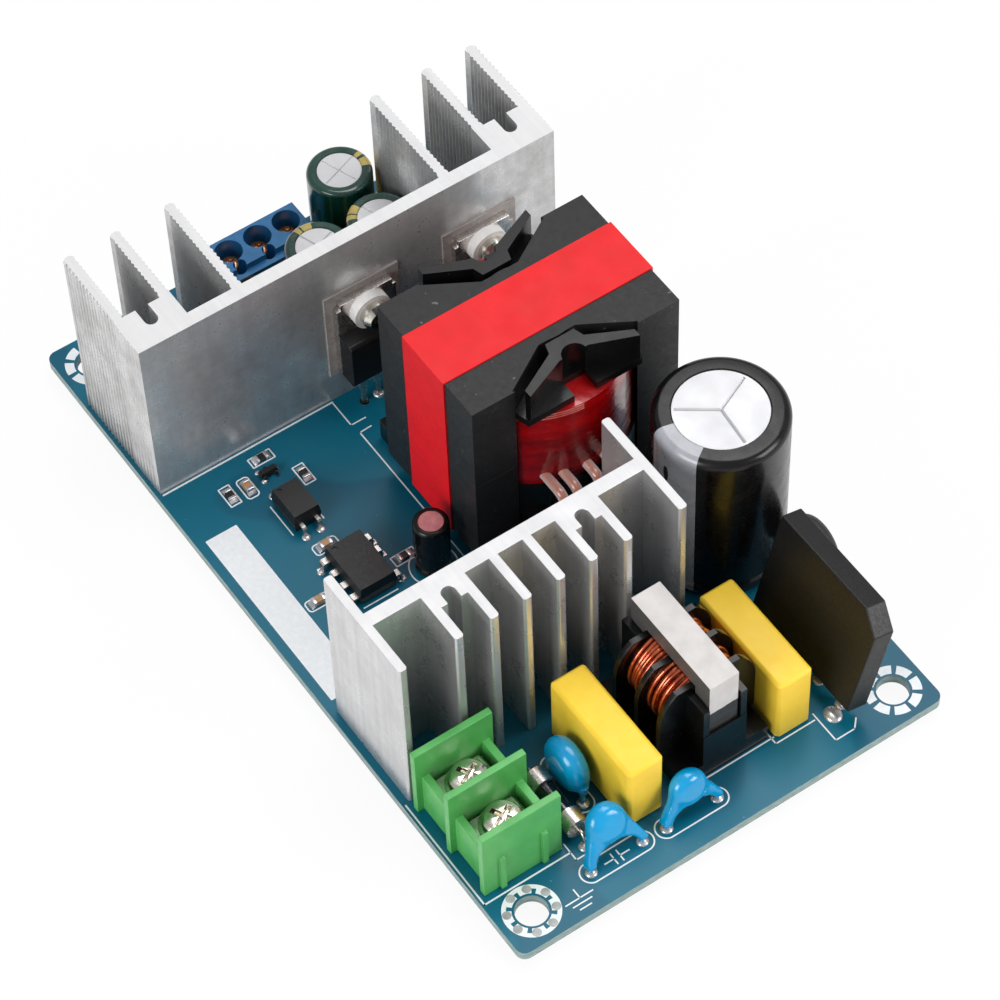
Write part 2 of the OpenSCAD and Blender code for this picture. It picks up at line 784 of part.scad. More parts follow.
module safety_capacitor(at, d, gap, lean) {
    spread = safety_pitch / 2;
    knee_z = 1.1;
    rise = d / 2 + gap;
    wire_d = 0.6;
    color("dodgerblue")
        translate([at.x, at.y, top]) {
            translate([0, 0, knee_z])
                rotate([0, -lean, 0]) {
                    translate([0, 0, rise])
                        rotate([0, 0, 90])
                            lens(d, safety_t);
                    rotate([90, 0, 90])
                        linear_extrude(skirt_t, center = true)
                            resin_skirt(d / 2, rise, spread);
                }
            for (s = [-1, 1])
                translate([0, s * spread, -tail_l - top])
                    cylinder(d = wire_d, h = tail_l + top + knee_z + 0.3, $fn = 24);
        }
}

// Outline of the skirt: from the disc's sides to the legs, hollowed at the flanks, with an
// arch between the legs
module resin_skirt(r, rise, spread) {
    foot = 0.7;
    flank_r = 0.55 * rise;
    difference() {
        polygon([[-spread - foot, 0], [spread + foot, 0], [spread + foot, 0.6], [r - 0.1, rise],
            [0.1 - r, rise], [-spread - foot, 0.6]]);
        intersection() {
            translate([0, -0.1])
                scale([(spread - foot) / rise, 0.45])
                    circle(rise);
            translate([-spread, -1])
                square([2 * spread, rise]);
        }
        for (s = [-1, 1])
            translate([s * (r + flank_r + 0.1), rise])
                circle(flank_r);
    }
}

module safety_capacitor_1() {
    safety_capacitor(safety_at[0], safety_d, 2, 30);
}

module safety_capacitor_2() {
    safety_capacitor(safety_at[1], safety_2_d, 1.4, 14);
}

// Coated disc on two legs, standing along X
module leaded_disc(at, d, t, pitch, wire_d, lift) {
    disc_z = d / 2 + lift;
    translate([at.x, at.y, top]) {
        translate([0, 0, disc_z])
            lens(d, t);
        for (s = [-1, 1]) {
            x = min(pitch / 2, d / 2 - 0.6);
            translate([s * pitch / 2, 0, -tail_l - top])
                cylinder(d = wire_d, h = tail_l + top + disc_z - 0.2 * d, $fn = 24);
            translate([s * x, 0, lift])
                cylinder(r1 = wire_d * 0.6, r2 = wire_d * 1.6, h = d * 0.4, $fn = 24);
        }
    }
}

module surge_absorber() {
    color("deepskyblue")
        leaded_disc(varistor_at, varistor_d, varistor_t, varistor_pitch, 0.6, 1);
}

module inrush_limiter() {
    color("#303030")
        leaded_disc(limiter_at, limiter_d, limiter_t, limiter_pitch, 0.8, 3.7);
}

// Fuse, lying along X: glass tube, end caps with bent leads, and the wire inside
fuse_axis = top + fuse_d / 2 + 0.8;
fuse_cap_l = 2.6;
fuse_wall = 0.45;

module fuse_glass() {
    color("lightcyan")
        translate([fuse_at.x - fuse_l / 2 + 0.5, fuse_at.y, fuse_axis])
            rotate([0, 90, 0])
                difference() {
                    cylinder(d = fuse_d - 2 * fuse_wall, h = fuse_l - 1);
                    translate([0, 0, -1])
                        cylinder(d = fuse_d - 4 * fuse_wall, h = fuse_l + 1);
                }
}

module fuse_caps() {
    bend = 0.9;
    color("silver")
        for (s = [-1, 1])
            translate([fuse_at.x, fuse_at.y, fuse_axis])
                scale([s, 1, 1]) {
                    translate([fuse_l / 2 - fuse_cap_l, 0, 0])
                        rotate([0, 90, 0])
                            difference() {
                                cylinder(d = fuse_d, h = fuse_cap_l);
                                translate([0, 0, -0.5])
                                    cylinder(d = fuse_d - 2 * fuse_wall, h = fuse_cap_l);
                            }
                    reach = fuse_hole_x[1] - fuse_at.x - bend;
                    translate([fuse_l / 2 - 0.2, 0, 0])
                        rotate([0, 90, 0])
                            cylinder(d = fuse_wire_d, h = reach - fuse_l / 2 + 0.2, $fn = 20);
                    translate([reach, 0, -bend])
                        rotate([90, 0, 0])
                            rotate_extrude(angle = 90, $fn = 32)
                                translate([bend, 0])
                                    circle(d = fuse_wire_d, $fn = 20);
                    translate([reach + bend, 0, -tail_l - fuse_axis])
                        cylinder(d = fuse_wire_d, h = tail_l + fuse_axis - bend, $fn = 20);
                }
}

module fuse_wire() {
    color("silver")
        translate([fuse_at.x - fuse_l / 2 + 0.5, fuse_at.y, fuse_axis])
            rotate([0, 90, 0])
                cylinder(d = 0.3, h = fuse_l - 1, $fn = 16);
}

// Bridge rectifier: flat moulding with one cut corner, leaning back on its four leads
module bridge_rectifier() {
    color("#2c2c2c")
        translate([bridge_at.x, bridge_at.y, top + bridge_foot])
            rotate([90 - bridge_lean, 0, 0])
                mirror([0, 0, 1])
                    linear_extrude(bridge_t)
                        polygon([[-bridge_w / 2, 0], [bridge_w / 2, 0],
                            [bridge_w / 2, bridge_h - bridge_cut],
                            [bridge_w / 2 - bridge_cut, bridge_h], [-bridge_w / 2, bridge_h]]);
}

module bridge_leads() {
    shoulder = 2;
    drop = (bridge_t / 2) * sin(bridge_lean);
    color("silver")
        for (p = bridge_leads_at) {
            translate([p.x, p.y, -tail_l])
                block([bridge_lead.x, bridge_lead.y, tail_l + top + bridge_foot - drop - 0.1]);
            translate([p.x, p.y, top + 0.4])
                block([shoulder, bridge_lead.y, bridge_foot - drop - 0.5]);
        }
}

// Mains filter choke: closed core with a middle bar, and a bobbin of two wound sections on
// a base with pins
choke_core_z = top + 1.2;
choke_mid = choke_core_z + choke_core_h / 2;
choke_window = (choke_core_h - 3 * choke_bar) / 2;
choke_fit = 0.2;
choke_wall = 1;
choke_flange_t = 0.9;
choke_inner_l = choke_core_l - 2 * choke_bar;
choke_slot_l = (choke_inner_l - 2 * choke_fit - 3 * choke_flange_t) / 2;
choke_hug = choke_core_w + 2 * choke_fit;
choke_tube = [choke_hug + 2 * (choke_wall - choke_fit), choke_bar + 2 * choke_wall];
choke_reach = choke_bar / 2 + choke_window - choke_fit;

module choke_core() {
    gap_z = choke_bar / 2 + choke_window / 2;
    color("lightgray")
        translate([choke_at.x, choke_at.y, choke_mid])
            difference() {
                cube([choke_core_l, choke_core_w, choke_core_h], center = true);
                for (s = [-1, 1])
                    translate([0, 0, s * gap_z])
                        cube([choke_inner_l, choke_core_w + 1, choke_window], center = true);
            }
}

// Round outline cut flat above and below, where it passes the core's bars
module choke_round(d) {
    intersection() {
        circle(d = d, $fn = 72);
        square([d, 2 * choke_reach], center = true);
    }
}

// Flange: round above, with straight sides down to the base and room for the lower bar
module choke_flange() {
    foot_h = choke_mid - top - choke_base.z;
    choke_round(choke_flange_d);
    difference() {
        translate([-choke_flange_d / 2, -foot_h - eps])
            square([choke_flange_d, foot_h + eps]);
        square([choke_hug, 2 * foot_h + 1], center = true);
    }
}

// One piece: base, three flanges on a tube round the middle bar, a wall at each end and
// cheeks that hold the end bars
module choke_bobbin() {
    cheek = [choke_inner_l / 2 - choke_fit - choke_flange_t, choke_core_l / 2 + 0.4];
    cheek_h = 0.82 * choke_core_h;
    wall_h = choke_mid - top - 1;
    color("#202020")
        translate([choke_at.x, choke_at.y, 0])
            difference() {
                union() {
                    translate([0, 0, top])
                        block(choke_base);
                    for (i = [0:2])
                        translate([-choke_inner_l / 2 + choke_fit + i * (choke_flange_t + choke_slot_l),
                            0, choke_mid])
                            rotate([90, 0, 90])
                                linear_extrude(choke_flange_t)
                                    choke_flange();
                    for (s = [-1, 1]) {
                        translate([s * (choke_base.x - choke_wall) / 2, 0, top + 1])
                            block([choke_wall, choke_hug + 2 * choke_wall, wall_h - 1]);
                        for (sy = [-1, 1])
                            translate([s * (cheek[0] + cheek[1]) / 2,
                                sy * (choke_hug + choke_wall) / 2, top + 1])
                                block([cheek[1] - cheek[0], choke_wall, cheek_h - 1]);
                    }
                    translate([0, 0, choke_mid])
                        cube([choke_inner_l - 2 * choke_fit, choke_tube.x, choke_tube.y], center = true);
                }
                choke_core_space();
            }
}

// Room for the core's middle bar, end bars and lower bar
module choke_core_space() {
    bar = choke_bar + 2 * choke_fit;
    translate([0, 0, choke_mid])
        cube([choke_core_l + 2 * choke_fit, choke_hug, bar], center = true);
    for (s = [-1, 1])
        translate([s * (choke_core_l - choke_bar) / 2, 0, choke_core_z - choke_fit])
            block([bar, choke_hug, choke_core_h + 1]);
    translate([0, 0, choke_core_z - choke_fit])
        block([choke_core_l, choke_hug, bar]);
}

// Copper sections wound between the bobbin's flanges, below their edges
module choke_windings() {
    choke_sink = 1.3;
    color("chocolate")
        for (i = [0, 1])
            translate([choke_at.x - choke_inner_l / 2 + choke_fit + choke_flange_t
                + i * (choke_flange_t + choke_slot_l), choke_at.y, choke_mid])
                rotate([90, 0, 90])
                    linear_extrude(choke_slot_l)
                        difference() {
                            intersection() {
                                choke_round(choke_flange_d - 2 * choke_sink);
                                square([choke_flange_d, 2 * choke_reach - 0.6], center = true);
                            }
                            square(choke_tube, center = true);
                        }
}

// Mains terminal: green barrier strip for two poles
in_wall_t = 1.1;
in_ledge_h = 8.2;
in_floor_h = 4.4;
in_plate = 0.8;
in_clamp = 1.1;
in_screw_d = 3;
in_head_d = 6.2;
in_thread_l = 3.4;

module input_terminal_housing() {
    body_w = in_term_w - 1.8;
    color("mediumseagreen")
        translate([in_term_at.x, in_term_at.y, top])
            difference() {
                union() {
                    for (i = [-1:1])
                        translate([i * in_term_pitch - in_wall_t / 2, 0, 0])
                            cube([in_wall_t, in_term_w, in_term_h]);
                    translate([-in_term_pitch, 1.1, 0])
                        cube([2 * in_term_pitch, body_w, in_ledge_h]);
                    for (y = [2.6, in_term_w - 3.4])
                        translate([in_term_pitch + in_wall_t / 2 - eps, y, 0])
                            cube([0.5 + eps, 0.9, in_ledge_h - 0.6]);
                }
                for (p = in_pole)
                    translate([p.x - in_term_at.x, 0, 0]) {
                        translate([0, 2.3 + (body_w - 2.4) / 2, in_floor_h])
                            block([in_term_pitch - in_wall_t, body_w - 2.4, in_term_h]);
                        translate([0, in_term_w / 2, in_floor_h - in_thread_l - 0.3])
                            cylinder(d = in_screw_d + 0.3, h = in_term_h, $fn = 24);
                        translate([0, in_term_w / 2 + in_foot_y, -1])
                            cylinder(d = 1.5, h = in_floor_h + 2, $fn = 24);
                    }
            }
}

// Tinned saddle plates with a foot through the board
module input_terminal_contacts() {
    color("silver")
        for (p = in_pole)
            translate([p.x, p.y, 0]) {
                difference() {
                    translate([0, 0, top + in_floor_h])
                        block([in_term_pitch - in_wall_t - 0.4, in_term_w - 4.6, in_plate]);
                    translate([0, 0, top + in_floor_h - 1])
                        cylinder(d = in_screw_d, h = 3, $fn = 32);
                }
                translate([0, in_foot_y, -tail_l])
                    block([contact_foot.x, contact_foot.y, tail_l + top + in_floor_h + eps]);
            }
}

// Square clamp plates under the screw heads
module input_terminal_clamps() {
    color("gainsboro")
        for (p = in_pole)
            translate([p.x, p.y, top + in_floor_h + in_plate])
                difference() {
                    block([in_term_pitch - in_wall_t - 0.6, in_term_w - 5.6, in_clamp]);
                    translate([0, 0, -1])
                        cylinder(d = in_screw_d + 0.3, h = 3, $fn = 32);
                }
}

// Cross-recessed pan screw, head down to z = 0, thread below
module pan_screw(d, head_d, head_h, l) {
    difference() {
        union() {
            translate([0, 0, -l])
                cylinder(d = d, h = l + eps, $fn = 32);
            cylinder(d = head_d, h = head_h * 0.55);
            translate([0, 0, head_h * 0.55])
                cylinder(d1 = head_d, d2 = head_d * 0.72, h = head_h * 0.45);
        }
        for (a = [0, 90])
            rotate([0, 0, a])
                translate([0, 0, head_h * 0.35])
                    block([head_d * 0.62, head_d * 0.14, head_h]);
    }
}

module input_terminal_screws() {
    color("silver")
        for (p = in_pole)
            translate([p.x, p.y, top + in_floor_h + in_plate + in_clamp])
                rotate([0, 0, 25])
                    pan_screw(in_screw_d, in_head_d, 2.6, in_thread_l + in_plate + in_clamp);
}

// Output terminal: blue three-pole block with screw wells, probe holes and wire entries
out_well_d = 4.3;
out_well_z = 4.6;
out_cage = [3.6, 3.6, 4];
out_cage_z = 0.9;
out_screw_d = 2.5;

module output_terminal_housing() {
    pole_x = out_pole[0].x - out_term_at.x;
    color("steelblue")
        translate([out_term_at.x, out_term_at.y, top])
            difference() {
                union() {
                    translate([0, -out_term_l / 2, 0])
                        cube([out_term_w, out_term_l, out_term_h - 1.2]);
                    translate([0.6, -out_term_l / 2, out_term_h - 1.2 - eps])
                        cube([out_term_w - 1.8, out_term_l, 1.2 + eps]);
                }
                for (i = [-1:1])
                    translate([0, i * out_term_pitch, 0]) {
                        translate([pole_x, 0, out_well_z])
                            cylinder(d = out_well_d, h = out_term_h, $fn = 32);
                        translate([pole_x, 0, out_cage_z])
                            block([out_cage.x + 0.3, out_cage.y + 0.3, out_cage.z + 0.3]);
                        translate([-1, -out_cage.y / 2 + 0.1, out_cage_z])
                            cube([pole_x, out_cage.y - 0.2, out_cage.z]);
                        translate([out_term_w - 1.8, 0, out_term_h - 5])
                            cylinder(d = 2, h = 6, $fn = 24);
                        translate([pole_x, 0, -1])
                            cylinder(d = 1.5, h = out_cage_z + 2, $fn = 24);
                    }
            }
}

// Wire cages, each with its foot through the board
module output_terminal_contacts() {
    wall = 0.6;
    color("silver")
        for (p = out_pole)
            translate([p.x, p.y, 0]) {
                difference() {
                    translate([0, 0, top + out_cage_z])
                        block(out_cage);
                    translate([0, 0, top + out_cage_z + wall])
                        block([out_cage.x + 1, out_cage.y - 2 * wall, out_cage.z - 2 * wall - 0.4]);
                    translate([0, 0, top + out_cage_z + 1])
                        cylinder(d = out_screw_d, h = out_cage.z, $fn = 32);
                }
                translate([0, 0, -tail_l])
                    block([contact_foot.x, contact_foot.y, tail_l + top + out_cage_z + eps]);
            }
}

// Slotted screws at the bottom of the wells
module output_terminal_screws() {
    head_z = top + out_cage_z + out_cage.z;
    color("rosybrown")
        for (p = out_pole)
            translate([p.x, p.y, head_z])
                difference() {
                    union() {
                        translate([0, 0, -2])
                            cylinder(d = out_screw_d, h = 2 + eps, $fn = 32);
                        cylinder(d = out_well_d - 0.5, h = 1.4, $fn = 32);
                    }
                    translate([0, 0, 0.7])
                        block([out_well_d, 0.6, 2]);
                }
}

// Output choke: drum core with a sleeved winding
drum_hub_r = 2;
drum_rim = 1.3;

module output_choke_core() {
    color("#403030")
        translate([drum_at.x, drum_at.y, drum_z]) {
            cylinder(r = drum_r - 0.3, h = drum_rim);
            cylinder(r = drum_hub_r, h = drum_h);
            translate([0, 0, drum_h - drum_rim])
                cylinder(r = drum_r - 0.3, h = drum_rim);
        }
}

module output_choke_sleeve() {
    color("#151515")
        translate([drum_at.x, drum_at.y, drum_z])
            difference() {
                union() {
                    translate([0, 0, drum_rim])
                        cylinder(r = drum_r - 0.3, h = drum_h - 2 * drum_rim);
                    cylinder(r = drum_r, h = drum_h + 0.3);
                }
                cylinder(r = drum_hub_r, h = drum_h);
                translate([0, 0, -1])
                    cylinder(r = drum_r - 0.3, h = drum_rim + 1);
                translate([0, 0, drum_h - drum_rim])
                    cylinder(r = drum_r - 0.3, h = drum_rim + 2);
            }
}

// Power transistors in the flat tab package. Local frame: x = 0 is the heatsink's face and
// x grows away from it, z = 0 is the underside of the moulded body.
to_hole_z = to_body_h + to_tab_h - 2.8;
bush_flange_t = 1.6;
bush_d = 6.2;
bush_barrel_d = 3.6;

module to_place(face_x, dir, y) {
    translate([face_x, y, top + to_lift])
        scale([dir, 1, 1])
            children();
}

module to_body() {
    cut = 0.5;
    color("#1c1c1c")
        translate([pad_t, 0, 0])
            rotate([90, 0, 0])
                translate([0, 0, -to_w / 2])
                    linear_extrude(to_w)
                        polygon([[to_tab_t, 0], [to_t - cut, 0], [to_t, cut],
                            [to_t, to_body_h - cut], [to_t - cut, to_body_h], [to_tab_t, to_body_h]]);
}

// Metal of one package: the tab with its hole, and the three leads that leave the body
module to_frame() {
    wing = 1.2;
    color("lightgray")
        translate([pad_t, 0, 0]) {
            difference() {
                union() {
                    translate([0, -to_w / 2, 0])
                        cube([to_tab_t, to_w, to_body_h + to_tab_h - wing]);
                    translate([0, -to_w / 2 + 0.6, 0])
                        cube([to_tab_t, to_w - 1.2, to_body_h + to_tab_h]);
                }
                translate([-1, 0, to_hole_z])
                    rotate([0, 90, 0])
                        cylinder(d = bush_barrel_d, h = to_tab_t + 2, $fn = 32);
            }
            for (i = [-1:1]) {
                translate([to_lead_x, i * to_pitch, -top - to_lift - tail_l])
                    block([to_lead.x, to_lead.y, top + to_lift + tail_l]);
                translate([to_lead_x, i * to_pitch, -3.5])
                    block([to_lead.x, 1.3, 3.5]);
            }
        }
}

module rectifier_left() {
    to_place(out_sink_face, 1, rect_y[0])
        to_body();
}

module rectifier_left_frame() {
    to_place(out_sink_face, 1, rect_y[0])
        to_frame();
}

module rectifier_right() {
    to_place(out_sink_face, 1, rect_y[1])
        to_body();
}

module rectifier_right_frame() {
    to_place(out_sink_face, 1, rect_y[1])
        to_frame();
}

module switching_transistor() {
    to_place(in_sink_back, -1, switch_y)
        to_body();
}

module switching_transistor_frame() {
    to_place(in_sink_back, -1, switch_y)
        to_frame();
}

// The three transistor places, for the pieces that fasten them
module at_each_transistor() {
    for (y = rect_y)
        to_place(out_sink_face, 1, y)
            children();
    to_place(in_sink_back, -1, switch_y)
        children();
}

module insulating_pads() {
    color("darkgray")
        at_each_transistor()
            difference() {
                translate([0, -to_w / 2 - 1.3, -1])
                    cube([pad_t, to_w + 2.6, to_body_h + to_tab_h + 2.2]);
                translate([-1, 0, to_hole_z])
                    rotate([0, 90, 0])
                        cylinder(d = bush_barrel_d, h = pad_t + 2, $fn = 32);
            }
}

// Shouldered bushings: a thin barrel in the tab's hole and a flange under the screw head
module insulating_bushings() {
    color("white")
        at_each_transistor()
            translate([pad_t, 0, to_hole_z])
                rotate([0, 90, 0])
                    difference() {
                        union() {
                            translate([0, 0, to_tab_t])
                                cylinder(d = bush_d, h = bush_flange_t);
                            cylinder(d = bush_barrel_d, h = to_tab_t + eps, $fn = 32);
                        }
                        translate([0, 0, -1])
                            cylinder(d = screw_d + 0.2, h = to_tab_t + bush_flange_t + 2, $fn = 32);
                    }
}

screw_grip = 2;

module transistor_screws() {
    color("silver")
        at_each_transistor()
            translate([pad_t + to_tab_t + bush_flange_t, 0, to_hole_z])
                rotate([0, 90, 0])
                    pan_screw(screw_d, 4.6, 1.9, pad_t + to_tab_t + bush_flange_t + screw_grip);
}

// Formed lead of a surface-mounted package: out of the body at half height, down, and out
// along the board. It runs towards +Y from y = 0, the body's side.
module gull_lead(w, rise, reach) {
    t = 0.25;
    knee = 0.9;
    foot = reach - knee;
    translate([-w / 2, 0, 0])
        rotate([90, 0, 90])
            linear_extrude(w)
                polygon([[0, rise], [knee, rise], [knee + t, rise - t], [knee + t, t], [knee + foot, t],
                    [knee + foot, 0], [knee, 0], [knee, rise - 2 * t], [0, rise - t]]);
}

// Moulded body with sides that taper to a parting line at half height
module tapered_body(size, lift) {
    half = size.z / 2;
    draft = 0.25;
    intersection() {
        translate([0, 0, lift])
            rotate([90, 0, 0])
                linear_extrude(size.y, center = true)
                    side_profile(size.x, half, draft);
        translate([0, 0, lift])
            rotate([90, 0, 90])
                linear_extrude(size.x, center = true)
                    side_profile(size.y, half, draft);
    }
}

module side_profile(w, half, draft) {
    polygon([[-w / 2 + draft, 0], [w / 2 - draft, 0], [w / 2, half], [w / 2 - draft, 2 * half],
        [-w / 2 + draft, 2 * half], [-w / 2, half]]);
}

signal_at = [core_at.x, core_at.y - core_y / 2 - 13.9];
opto_at = [signal_at.x - 12.8, signal_at.y - 1.6];
opto_size = [6.5, 4.6, 3.5];
opto_lift = 0.3;
control_at = [signal_at.x + 1.9, signal_at.y];
control_size = [9.6, 6.3, 3.4];
control_lift = 0.4;
lead_pitch = 2.54;
lead_reach = 1.7;

module optocoupler() {
    color("#262626")
        translate([opto_at.x, opto_at.y, top])
            difference() {
                tapered_body(opto_size, opto_lift);
                translate([-opto_size.x / 2 + 1, -opto_size.y / 2 + 1, opto_lift + opto_size.z - 0.15])
                    cylinder(d = 0.9, h = 1, $fn = 24);
            }
}

module optocoupler_leads() {
    color("silver")
        translate([opto_at.x, opto_at.y, top])
            for (s = [-1, 1], i = [-0.5, 0.5])
                rotate([0, 0, -s * 90])
                    translate([i * lead_pitch, opto_size.x / 2, 0])
                        gull_lead(0.6, opto_lift + opto_size.z / 2, lead_reach);
}

module controller() {
    color("#262626")
        translate([control_at.x, control_at.y, top])
            difference() {
                tapered_body(control_size, control_lift);
                translate([-control_size.x / 2 + 1.2, -control_size.y / 2 + 1.2,
                    control_lift + control_size.z - 0.15])
                    cylinder(d = 1, h = 1, $fn = 24);
            }
}

// Four leads on one side and three on the other, which leaves a gap beside the high voltage pin
module controller_leads() {
    color("silver")
        translate([control_at.x, control_at.y, top]) {
            for (i = [-1.5:1.5])
                rotate([0, 0, 180])
                    translate([i * lead_pitch, control_size.y / 2, 0])
                        gull_lead(1.1, control_lift + control_size.z / 2, lead_reach);
            for (i = [-1.5, -0.5, 1.5])
                translate([i * lead_pitch, control_size.y / 2, 0])
                    gull_lead(1.1, control_lift + control_size.z / 2, lead_reach);
        }
}

// Small three-legged voltage reference
reference_at = [signal_at.x - 21.2, signal_at.y - 1.2];

module voltage_reference() {
    body = [1.3, 2.9, 1];
    lift = 0.1;
    color("#262626")
        translate([reference_at.x, reference_at.y, top]) {
            tapered_body(body, lift);
            for (y = [-0.95, 0.95])
                translate([0, y, 0])
                    rotate([0, 0, -90])
                        translate([0, body.x / 2 - 0.1, 0])
                            sot_lead();
            rotate([0, 0, 90])
                translate([0, body.x / 2 - 0.1, 0])
                    sot_lead();
        }
}

module sot_lead() {
    translate([-0.2, 0, 0])
        rotate([90, 0, 90])
            linear_extrude(0.4)
                polygon([[0, 0.7], [0.35, 0.7], [0.5, 0.15], [0.75, 0.15], [0.75, 0], [0.4, 0],
                    [0.25, 0.55], [0, 0.55]]);
}

// Chip parts round the controller: place from signal_at, and quarter turns from the X axis
resistor_at = [[-24.1, -0.6, 1], [-18.1, 3, 0], [-21, -8, 0], [2.8, 6.8, 1]];
chip_cap_at = [[-20.7, -5.1, 0], [-5.4, -1.4, 1], [2.3, -7.6, 1]];
chip_l = 2;
chip_w = 1.25;

module chip(t) {
    cap_l = 0.4;
    rim = 0.06;
    translate([0, 0, rim])
        block([chip_l - 2 * cap_l, chip_w - 2 * rim, t]);
    for (s = [-1, 1])
        translate([s * (chip_l - cap_l) / 2, 0, 0])
            block([cap_l + eps, chip_w, t + 2 * rim]);
}

module chip_resistors() {
    color("#222222")
        for (p = resistor_at)
            translate([signal_at.x + p.x, signal_at.y + p.y, top])
                rotate([0, 0, 90 * p[2]])
                    chip(0.5);
}

module chip_capacitors() {
    color("peru")
        for (p = chip_cap_at)
            translate([signal_at.x + p.x, signal_at.y + p.y, top])
                rotate([0, 0, 90 * p[2]])
                    chip(0.9);
}

// Plain round leads of the parts that hide them, from each part's underside down
module component_leads() {
    color("silver")
        for (p = round_leads)
            translate([p.x, p.y, -tail_l])
                cylinder(d = p[2], h = tail_l + p[3], $fn = 24);
}

// Cone of solder round a lead under the board
module solder_cone(d) {
    translate([0, 0, -joint_h])
        cylinder(d1 = d + 0.5, d2 = d + 1.7, h = joint_h, $fn = 24);
}

module solder_joints() {
    color("lightgray") {
        for (p = concat(round_leads, own_leads, fuse_leads, bobbin_pins, sink_pins))
            translate([p.x, p.y, 0])
                difference() {
                    solder_cone(p[2]);
                    translate([0, 0, -tail_l])
                        cylinder(d = p[2], h = tail_l + 1, $fn = 24);
                }
        for (p = flat_feet)
            flat_joint(p, to_lead);
        for (p = bridge_leads_at)
            flat_joint(p, bridge_lead);
        for (p = contact_feet)
            flat_joint(p, contact_foot);
    }
}

module flat_joint(p, lead) {
    translate([p.x, p.y, 0])
        difference() {
            solder_cone(1.2);
            translate([0, 0, -tail_l])
                block([lead.x, lead.y, tail_l + 1]);
        }
}

circuit_board();
output_heatsink();
input_heatsink();
heatsink_pins();
transformer_core_upper();
transformer_core_lower();
transformer_tape();
transformer_bobbin();
transformer_winding();
transformer_pins();
transformer_leads();
bulk_capacitor();
film_capacitor_front();
film_capacitor_rear();
output_capacitor_1();
output_capacitor_2();
output_capacitor_3();
supply_capacitor();
safety_capacitor_1();
safety_capacitor_2();
surge_absorber();
inrush_limiter();
fuse_glass();
fuse_caps();
fuse_wire();
bridge_rectifier();
bridge_leads();
choke_core();
choke_bobbin();
choke_windings();
input_terminal_housing();
input_terminal_contacts();
input_terminal_clamps();
input_terminal_screws();
output_terminal_housing();
output_terminal_contacts();
output_terminal_screws();
output_choke_core();
output_choke_sleeve();
rectifier_left();
rectifier_left_frame();
rectifier_right();
rectifier_right_frame();
switching_transistor();
switching_transistor_frame();
insulating_pads();
insulating_bushings();
transistor_screws();
optocoupler();
optocoupler_leads();
controller();
controller_leads();
voltage_reference();
chip_resistors();
chip_capacitors();
component_leads();
solder_joints();
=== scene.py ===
import json
import math
import random

import bmesh
import bpy
from mathutils import Matrix, Vector


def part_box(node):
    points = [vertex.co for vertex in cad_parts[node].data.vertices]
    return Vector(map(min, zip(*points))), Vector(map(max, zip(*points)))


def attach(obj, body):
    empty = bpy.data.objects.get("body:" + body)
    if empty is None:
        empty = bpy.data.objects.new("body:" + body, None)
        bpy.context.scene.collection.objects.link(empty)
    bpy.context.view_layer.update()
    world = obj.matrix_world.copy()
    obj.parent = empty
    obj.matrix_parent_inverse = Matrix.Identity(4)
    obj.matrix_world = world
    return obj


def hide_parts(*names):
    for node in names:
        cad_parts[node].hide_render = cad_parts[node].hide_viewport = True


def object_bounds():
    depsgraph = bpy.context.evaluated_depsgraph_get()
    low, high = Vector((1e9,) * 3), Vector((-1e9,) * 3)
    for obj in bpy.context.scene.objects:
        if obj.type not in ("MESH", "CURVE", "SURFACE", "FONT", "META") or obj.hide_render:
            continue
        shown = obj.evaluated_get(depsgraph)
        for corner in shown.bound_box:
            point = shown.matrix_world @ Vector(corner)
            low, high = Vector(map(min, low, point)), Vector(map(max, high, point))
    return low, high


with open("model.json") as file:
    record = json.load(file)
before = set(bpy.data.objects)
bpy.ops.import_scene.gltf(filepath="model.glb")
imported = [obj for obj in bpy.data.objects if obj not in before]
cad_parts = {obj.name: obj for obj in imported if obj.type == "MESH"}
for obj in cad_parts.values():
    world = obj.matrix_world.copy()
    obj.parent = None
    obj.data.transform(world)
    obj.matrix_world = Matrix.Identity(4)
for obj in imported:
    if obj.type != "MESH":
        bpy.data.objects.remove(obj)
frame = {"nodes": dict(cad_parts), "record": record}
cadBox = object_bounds()
# lengths are in millimetres, and mm brings one to the metres that Blender takes
mm = 0.001
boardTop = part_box("circuit_board")[1].z / mm
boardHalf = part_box("circuit_board")[1] / mm
inkTop = boardTop + 0.012
inkWidth = 0.22
holeInset = 5.15
weldGap = 0.000004
shake = random.Random(7)
print("stage: frame loaded")


# materials
def srgb(red, green, blue):
    linear = []
    for value in (red, green, blue):
        part = value / 255
        linear.append(part / 12.92 if part <= 0.04045 else ((part + 0.055) / 1.055) ** 2.4)
    return (linear[0], linear[1], linear[2], 1)


def addNode(tree, kind, inputs=None, **settings):
    made = tree.nodes.new(kind)
    for key, value in settings.items():
        setattr(made, key, value)
    for key, value in (inputs or {}).items():
        socket = made.inputs[key]
        if isinstance(value, bpy.types.NodeSocket):
            tree.links.new(value, socket)
        else:
            socket.default_value = value
    return made


def objectPlace(tree, stretch):
    place = addNode(tree, "ShaderNodeTexCoord")
    mapped = addNode(tree, "ShaderNodeMapping", {"Vector": place.outputs["Object"], "Scale": stretch})
    return mapped.outputs["Vector"]


def noiseField(tree, scale, stretch=(1, 1, 1), detail=3, rough=0.55):
    made = addNode(tree, "ShaderNodeTexNoise", {"Vector": objectPlace(tree, stretch), "Scale": scale,
                                                "Detail": detail, "Roughness": rough})
    return made.outputs["Fac"]


def spread(tree, field, low, high, fromLow=0.3, fromHigh=0.7):
    made = addNode(tree, "ShaderNodeMapRange", {"Value": field, "From Min": fromLow, "From Max": fromHigh,
                                                "To Min": low, "To Max": high})
    return made.outputs["Result"]


